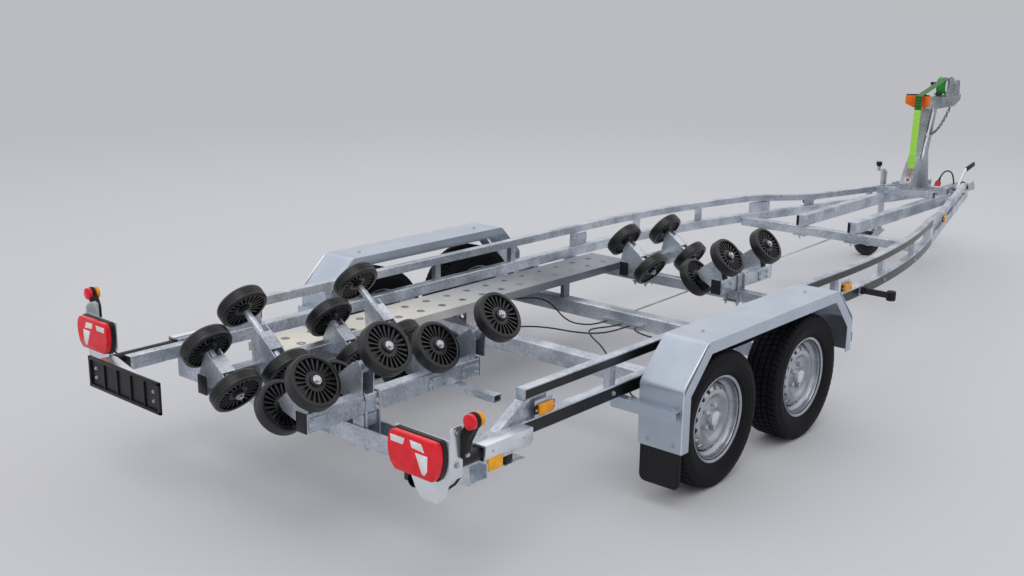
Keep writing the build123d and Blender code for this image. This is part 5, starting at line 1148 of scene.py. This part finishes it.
def build_winch():
    """Drum between bright flanges, cheeks, gear housing and the crank with its knob."""
    cheeks, spool, gear, places = bmesh.new(), bmesh.new(), bmesh.new(), []
    for end in (-1, 1):
        slab(cheeks, CHEEK, at(WINCH_X, end * DRUM_HALF, ARM_TOP), X, Z, Y * end, CHEEK_T, 0.001)
        y = end * (DRUM_HALF - 0.004)
        flange = ((0.014, y - 0.0015), (FLANGE_DRUM_R - 0.002, y - 0.0015), (FLANGE_DRUM_R, y),
                  (FLANGE_DRUM_R - 0.002, y + 0.0015), (0.014, y + 0.0015))
        add_turned(spool, flange, 48, at(WINCH_X, 0, WINCH_Z), Y)
    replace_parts(put("winch_cheeks", cheeks, "zinc", GEAR_GREY), "winch")
    bar(spool, [at(WINCH_X, y, WINCH_Z) for y in AXLE_Y], AXLE_R, 16)
    crank = [(reach + CRANK_R * cos(radians(d)), CRANK_R * sin(radians(d)))
             for reach, first in ((0.0, 90), (CRANK_REACH, -90)) for d in range(first, first + 181, 20)]
    slab(spool, crank, at(WINCH_X - 0.008, CRANK_Y, WINCH_Z), X, Z, Y, CRANK_T)
    put("winch_spool", spool, "zinc", BRIGHT)
    half, r = DRUM_HALF - 0.006, STRAP_DRUM_R
    coil = turned(((0.012, -half), (r - 0.003, -half), (r, -half + 0.003), (r - 0.001, -0.008), (r, 0.01),
                   (r, half - 0.003), (r - 0.003, half), (0.012, half)), 48)
    wound = put("strap_coil", coil, "green_web", COIL_WEB_PAINTED_LIGHT, lay=axis_frame(at(WINCH_X, 0, WINCH_Z), Y))
    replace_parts(wound, "winch_strap")
    put("crank_knob", turned(KNOB, 28), "zinc", FINISH["black_plastic"],
        lay=axis_frame(at(WINCH_X + 0.144, CRANK_Y + CRANK_T, WINCH_Z), Y))
    slab(gear, GEAR_SIDE, at(GEAR_X, -GEAR_W / 2, ARM_TOP), X, Z, Y, GEAR_W, 0.004)
    put("gear_housing", gear, "zinc", GEAR_GREY)
    for x, reach, marks in ((GEAR_X, GEAR_W / 2, GEAR_BOLTS), (WINCH_X, DRUM_HALF + CHEEK_T, CHEEK_BOLTS)):
        places += [(at(x + dx, end * reach, ARM_TOP + dz), Y * end) for end in (-1, 1) for dx, dz in marks]
    places.append((at(GEAR_X - 0.061, -0.018, ARM_TOP + 0.05), -X))
    bolts("winch_bolts", places, (0.012, 0.006, 0.009))


def hang(y, z):
    """A place under the strap's lower end, on the line that its hook hangs along."""
    x_low, z_low = STRAP_LOW[1]
    return at(x_low - 0.004 + z * 0.42, STRAP_Y + y, z_low - 0.007 + z)


def build_strap():
    """Strap from the drum over the stop, its doubled end, the hook and the ring."""
    top, low, hook, ring = (bmesh.new() for _ in range(4))
    (x1, z1), (x2, z2) = STRAP_LOW

    def up_strap(share):
        return x2 + (x1 - x2) * share, z2 + (z1 - z2) * share

    ribbon(top, STRAP_TOP, STRAP_W, 0.003)
    put("strap_top", top, "green_web", DARK_WEB)
    ribbon(low, STRAP_LOW, STRAP_W, 0.003)
    ribbon(low, [up_strap(share) for share in (0.0, 0.05, 0.24)], STRAP_W - 0.001, 0.0015, lift=0.002)
    for x, z in map(up_strap, SEAMS):
        centre = at(x, STRAP_Y, z) - X * 0.003
        bar(low, [centre - Y * 0.021, centre + Y * 0.021], 0.0009, 6)
    put("strap_low", low, "green_web")
    bar(hook, ring_points(lambda c, s: hang(0.024 * c, 0.016 * s), 16), 0.0035, 8)
    bar(hook, [hang(y, z) for y, z in HOOK_BEND], 0.0055, 10)
    put("strap_hook", hook, "green_web", COPPER)
    bar(ring, ring_points(lambda c, s: hang(0.02 * c, -0.079 + 0.02 * s), 20), 0.0035, 8)
    put("strap_ring", ring, "green_web", BRIGHT)


def build_stop():
    """Orange wings of the bow stop, its black bar and its lug."""
    wings, top, lug = bmesh.new(), bmesh.new(), bmesh.new()
    length = hypot(STOP_HALF_W, 2 * STOP_V) + STOP_T * 0.35
    wing = ((0.0, 0.0), (0.052, 0.0), (length, 0.034), (length, STOP_H), (0.0, STOP_H))
    root = at(STOP_X + STOP_V, 0, STOP_LOW)
    for _, side in SIDES:
        along = Vector((-2 * STOP_V, side * STOP_HALF_W, 0)).normalized()
        across = along.cross(Z)
        slab(wings, wing, root - across * STOP_T / 2, along, Z, across, STOP_T, 0.004)
        lid = root + Z * (STOP_H - 0.004) - across * STOP_T * 0.42
        slab(top, rect(0.01, 0.0, length - 0.004, 0.011), lid, along, Z, across, STOP_T * 0.84, 0.002)
    slab(lug, rect(0.0, 0.0, 0.062, 0.06), root - Y * 0.02, X, Z, Y, 0.04, 0.002)
    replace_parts(put("stop_wings", wings, "orange_pad"), "bow_stop")
    put("stop_bar", top, "orange_pad", FINISH["black_rubber"])
    put("stop_lug", lug, "orange_pad", SHEET)


def build_chain():
    """Safety chain from the arm to the clip on the stand's side, and the stand's bolts."""
    links = bmesh.new()
    (x1, y1, z1), (x2, y2, z2) = CHAIN_FROM, CHAIN_TO
    for k in range(CHAIN_LINKS):
        share = (k + 0.5) / CHAIN_LINKS
        sag = 4 * share * (1 - share) * CHAIN_SAG
        slope = (1 - 2 * share) * 4 * CHAIN_SAG
        centre = at(x1 + (x2 - x1) * share, y1 + (y2 - y1) * share, z1 + (z2 - z1) * share - sag)
        along = Vector((x2 - x1, 0, z2 - z1 - slope)).normalized()
        wide = Y if k % 2 else along.cross(Y)
        bar(links, ring_points(lambda c, s: centre + along * 0.0175 * c + wide * 0.0095 * s, 14), 0.004, 6)
    put("safety_chain", links, "zinc", CHAIN_STEEL_AND_RIM_SHADE)
    feet = [(at(x, y, DECK_TOP + 0.005), Z) for x in (4.145, 4.415) for y in (-0.06, 0.06)]
    feet.append((at(4.15, -0.19, DECK_TOP), Z))
    bolts("stand_bolts", feet, (0.015, 0.008, 0.012))


def build_prop():
    """Tube along the right side of the stand, with its clip and bolts."""
    tube, clip = bmesh.new(), bmesh.new()
    top, foot = at(*TUBE_TOP), at(*TUBE_FOOT)
    bar(tube, [top, foot], 0.009, 20)
    put("stand_tube", tube, "zinc", BRIGHT)
    along = (foot - top).normalized()
    band = top + along * 0.19 + Y * 0.0095
    slab(clip, rect(0.0, -0.014, 0.03, 0.014), band, along, along.cross(Y), -Y, 0.02, 0.002)
    put("stand_clip", clip, "zinc", BRIGHT)
    bolts("stand_tube_bolts", [(top + along * share - Y * 0.008, -Y) for share in (0.012, 0.3, 0.38)],
          (0.013, 0.007, 0.011))


build_winch()
build_strap()
build_stop()
build_chain()
build_prop()

# ---------------- jockey wheel, lever and plugs at the nose
JOCKEY_X, JOCKEY_TOP, JOCKEY_R, JOCKEY_W, JOCKEY_TRAIL, SWIVEL = 4.5, 0.68, 0.1, 0.06, 0.09, radians(131)
JOCKEY_Y = rail_y(JOCKEY_X) + 0.028 + 0.024
FORK_NUT_Y = JOCKEY_W / 2 + 0.006 + 0.005 + 0.006 - 0.0005
HEAD_Z, HEAD_HALF = 0.5, 0.034
TOP_BOLT_X, TOP_BOLT_Y = (4.92, 5.09), 0.055
HEAD_BOLTS = ((5.365, HEAD_Z), (5.395, HEAD_Z), (4.93, HEAD_Z - 0.03), (5.06, HEAD_Z - 0.03))
JOCKEY_KNOB = ((0.004, 0.0), (0.013, 0.0), (0.0125, 0.014), (0.014, 0.03), (0.021, 0.038), (0.023, 0.046),
               (0.023, 0.06), (0.02, 0.067), (0.004, 0.07))
JOCKEY_HUB = ((0.009, 0.0325), (0.021, 0.0325), (0.025, 0.0235), (0.056, 0.0235), (0.06, 0.025),
              (0.059, 0.0215), (0.024, 0.0205), (0.009, 0.0205))
LEVER_GRIP = ((5.262, HEAD_Z + 0.1455), (5.428, HEAD_Z + 0.1765), (5.4315, HEAD_Z + 0.18),
              (5.4265, HEAD_Z + 0.2065), (5.421, HEAD_Z + 0.2085), (5.25, HEAD_Z + 0.178))
# station, inset, height, width and height of the plugs in the rails' front ends
RAIL_PLUGS = ((5.145, 0.025, 0.485, 0.05, 0.06), (4.96, 0.02, 0.5745, 0.04, 0.045))


def build_nose():
    """Jockey knob and hubs, lever grip, plugs of the rails' ends and coupling bolts."""
    hub, grip, plugs, pale = (bmesh.new() for _ in range(4))
    put("jockey_knob", turned(JOCKEY_KNOB, 28), "zinc", FINISH["black_plastic"],
        lay=axis_frame(at(JOCKEY_X - 0.108, JOCKEY_Y, JOCKEY_TOP + 0.03), Z))
    for end in (-1, 1):
        add_bmesh(hub, turned([(r, end * y) for r, y in JOCKEY_HUB], 40))
    axis = Vector((sin(SWIVEL), -cos(SWIVEL), 0))
    centre = at(JOCKEY_X + JOCKEY_TRAIL * cos(SWIVEL), JOCKEY_Y + JOCKEY_TRAIL * sin(SWIVEL), JOCKEY_R)
    put("jockey_hub", hub, "roller_rubber", FINISH["black_plastic"], "jockey_road_wheel",
        axis_frame(centre, axis))
    nuts = [(centre + axis * end * FORK_NUT_Y, axis * end) for end in (-1, 1)]
    bolts("fork_nuts", nuts, (0.019, 0.008, 0), "jockey_castor")
    slab(grip, LEVER_GRIP, at(0, -0.0325, 0), X, Z, -Y, 0.017, 0.004)
    put("lever_grip", grip, "black_plastic", FINISH["black_rubber"])
    for _, side in SIDES:
        for x, inset, z, width, height in RAIL_PLUGS:
            along = rail_axes(x, side)[0]
            forward = along if along.x > 0 else -along
            tube_cap(plugs, on_rail(x, side, z, inset), forward, width / cos(rail_turn(x)) * 0.97, height)
        tube_cap(pale, at(-1.4, side * 0.88, UP_TOP - UP_H / 2), -X, UP_W, UP_H, depth=0.003)
    put("rail_plugs", plugs, "black_plastic")
    put("rail_end_plates", pale, "galvanised", SHEET)
    places = [(at(x, y, LOW_TOP + 0.008), Z) for x in TOP_BOLT_X for y in (-TOP_BOLT_Y, TOP_BOLT_Y)]
    places += [(at(x, end * HEAD_HALF, z), Y * end) for x, z in HEAD_BOLTS for end in (-1, 1)]
    bolts("nose_bolts", places, (0.017, 0.009, 0.013))


build_nose()

# ---------------- cables and lead
ARM_OUT, HOUSING_TOP, END_GAP = 0.927, 0.555, 0.0007
PLATE_FACE = ARM_OUT - END_GAP
CABLE_D, LEAD_D = 0.008, 0.012
CABLE_END_X, CABLE_BLOCK_Z = 0.388 - END_GAP, 0.35
BRAKE_CABLES = (
    ((0.31, PLATE_FACE, 0.33), (0.306, 0.865, 0.336), (0.304, 0.79, 0.348), (0.312, 0.7, 0.362),
     (0.345, 0.615, 0.378), (0.396, 0.53, 0.388), (0.392, 0.44, 0.38), (0.34, 0.345, 0.366),
     (0.275, 0.25, 0.356), (0.232, 0.15, 0.35), (0.26, 0.07, 0.349), (0.325, 0.042, 0.35),
     (CABLE_END_X, 0.04, CABLE_BLOCK_Z)),
    ((-0.456, PLATE_FACE, 0.33), (-0.46, 0.865, 0.326), (-0.462, 0.79, 0.318), (-0.44, 0.71, 0.308),
     (-0.38, 0.64, 0.3), (-0.3, 0.59, 0.298), (-0.215, 0.535, 0.304), (-0.14, 0.47, 0.316),
     (-0.075, 0.4, 0.33), (-0.01, 0.34, 0.342), (0.048, 0.255, 0.348), (0.082, 0.16, 0.35),
     (0.098, 0.06, 0.35), (0.13, -0.03, 0.35), (0.2, -0.085, 0.349), (0.29, -0.102, 0.349),
     (0.345, -0.105, 0.35), (CABLE_END_X, -0.106, CABLE_BLOCK_Z)),
    ((CABLE_END_X, -0.055, CABLE_BLOCK_Z), (0.345, -0.054, 0.352), (0.28, -0.05, 0.358),
     (0.205, -0.04, 0.366), (0.135, -0.038, 0.371), (0.085, -0.075, 0.37), (0.04, -0.14, 0.362),
     (0.0, -0.215, 0.354),
     (-0.06, -0.29, 0.345), (-0.125, -0.38, 0.332), (-0.19, -0.465, 0.316), (-0.255, -0.545, 0.302),
     (-0.325, -0.62, 0.297), (-0.395, -0.69, 0.303), (-0.445, -0.77, 0.318), (-0.458, -0.85, 0.327),
     (-0.456, -PLATE_FACE, 0.33)),
    ((0.31, -PLATE_FACE, 0.33), (0.307, -0.865, 0.334), (0.303, -0.79, 0.34), (0.308, -0.7, 0.346),
     (0.322, -0.6, 0.349), (0.333, -0.5, 0.347), (0.33, -0.4, 0.343), (0.322, -0.305, 0.342),
     (0.33, -0.225, 0.345), (0.352, -0.165, 0.349), (CABLE_END_X, -0.15, CABLE_BLOCK_Z)),
)
PLUG_TOP, PLUG_LOW = (4.815, 0.001, 0.636), (4.735, 0.0, 0.545)
LEAD_ROUTE = ((5.125, 0, HOUSING_TOP + END_GAP), (5.122, 0.004, 0.59), (5.1, 0.006, 0.63),
              (5.05, 0.004, 0.66), (4.98, 0, 0.678), (4.905, -0.002, 0.682), (4.85, 0, 0.665), PLUG_TOP)
PLUG_L = (Vector(PLUG_LOW) - Vector(PLUG_TOP)).length
PLUG_BOOT = ((0.0055, 0.0), (0.0078, 0.0), (0.0085, 0.006), (0.008, 0.008), (0.0095, 0.016), (0.0088, 0.018),
             (0.011, 0.03), (0.0215, 0.037), (0.0215, 0.043), (0.0055, 0.043))
PLUG_SHELL = ((0.006, 0.042), (0.0225, 0.042), (0.0238, 0.048), (0.0238, 0.062), (0.0225, 0.064),
              (0.0225, 0.078), (0.0238, 0.08), (0.0238, PLUG_L - 0.008), (0.02, PLUG_L), (0.006, PLUG_L))


def cable(name, route, diameter):
    """Smooth rubber cable along a route's points."""
    curve = bpy.data.curves.new(name, "CURVE")
    curve.dimensions = "3D"
    curve.bevel_depth = diameter / 2
    curve.bevel_resolution = 4
    curve.use_fill_caps = True
    spline = curve.splines.new("NURBS")
    spline.points.add(len(route) - 1)
    for point, place in zip(spline.points, route):
        point.co = (*at(*place), 1)
    spline.order_u = 3
    spline.use_endpoint_u = True
    curve.materials.append(FINISH["black_rubber"])
    piece = show(name, curve)
    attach(piece, "frame")
    return piece


def build_cables():
    """Four brake cables, the lead and its plug."""
    cables = [cable(f"brake_cable_{number}", route, CABLE_D) for number, route in enumerate(BRAKE_CABLES, 1)]
    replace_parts(cables[0], "brake_cables")
    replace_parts(cable("lead", LEAD_ROUTE, LEAD_D), "trailer_lead")
    start = at(*PLUG_TOP)
    lay = axis_frame(start, at(*PLUG_LOW) - start)
    put("plug_boot", turned(PLUG_BOOT, 32), "black_rubber", lay=lay)
    put("plug_shell", turned(PLUG_SHELL, 32), "black_rubber", PLUG_RED, lay=lay)


build_cables()
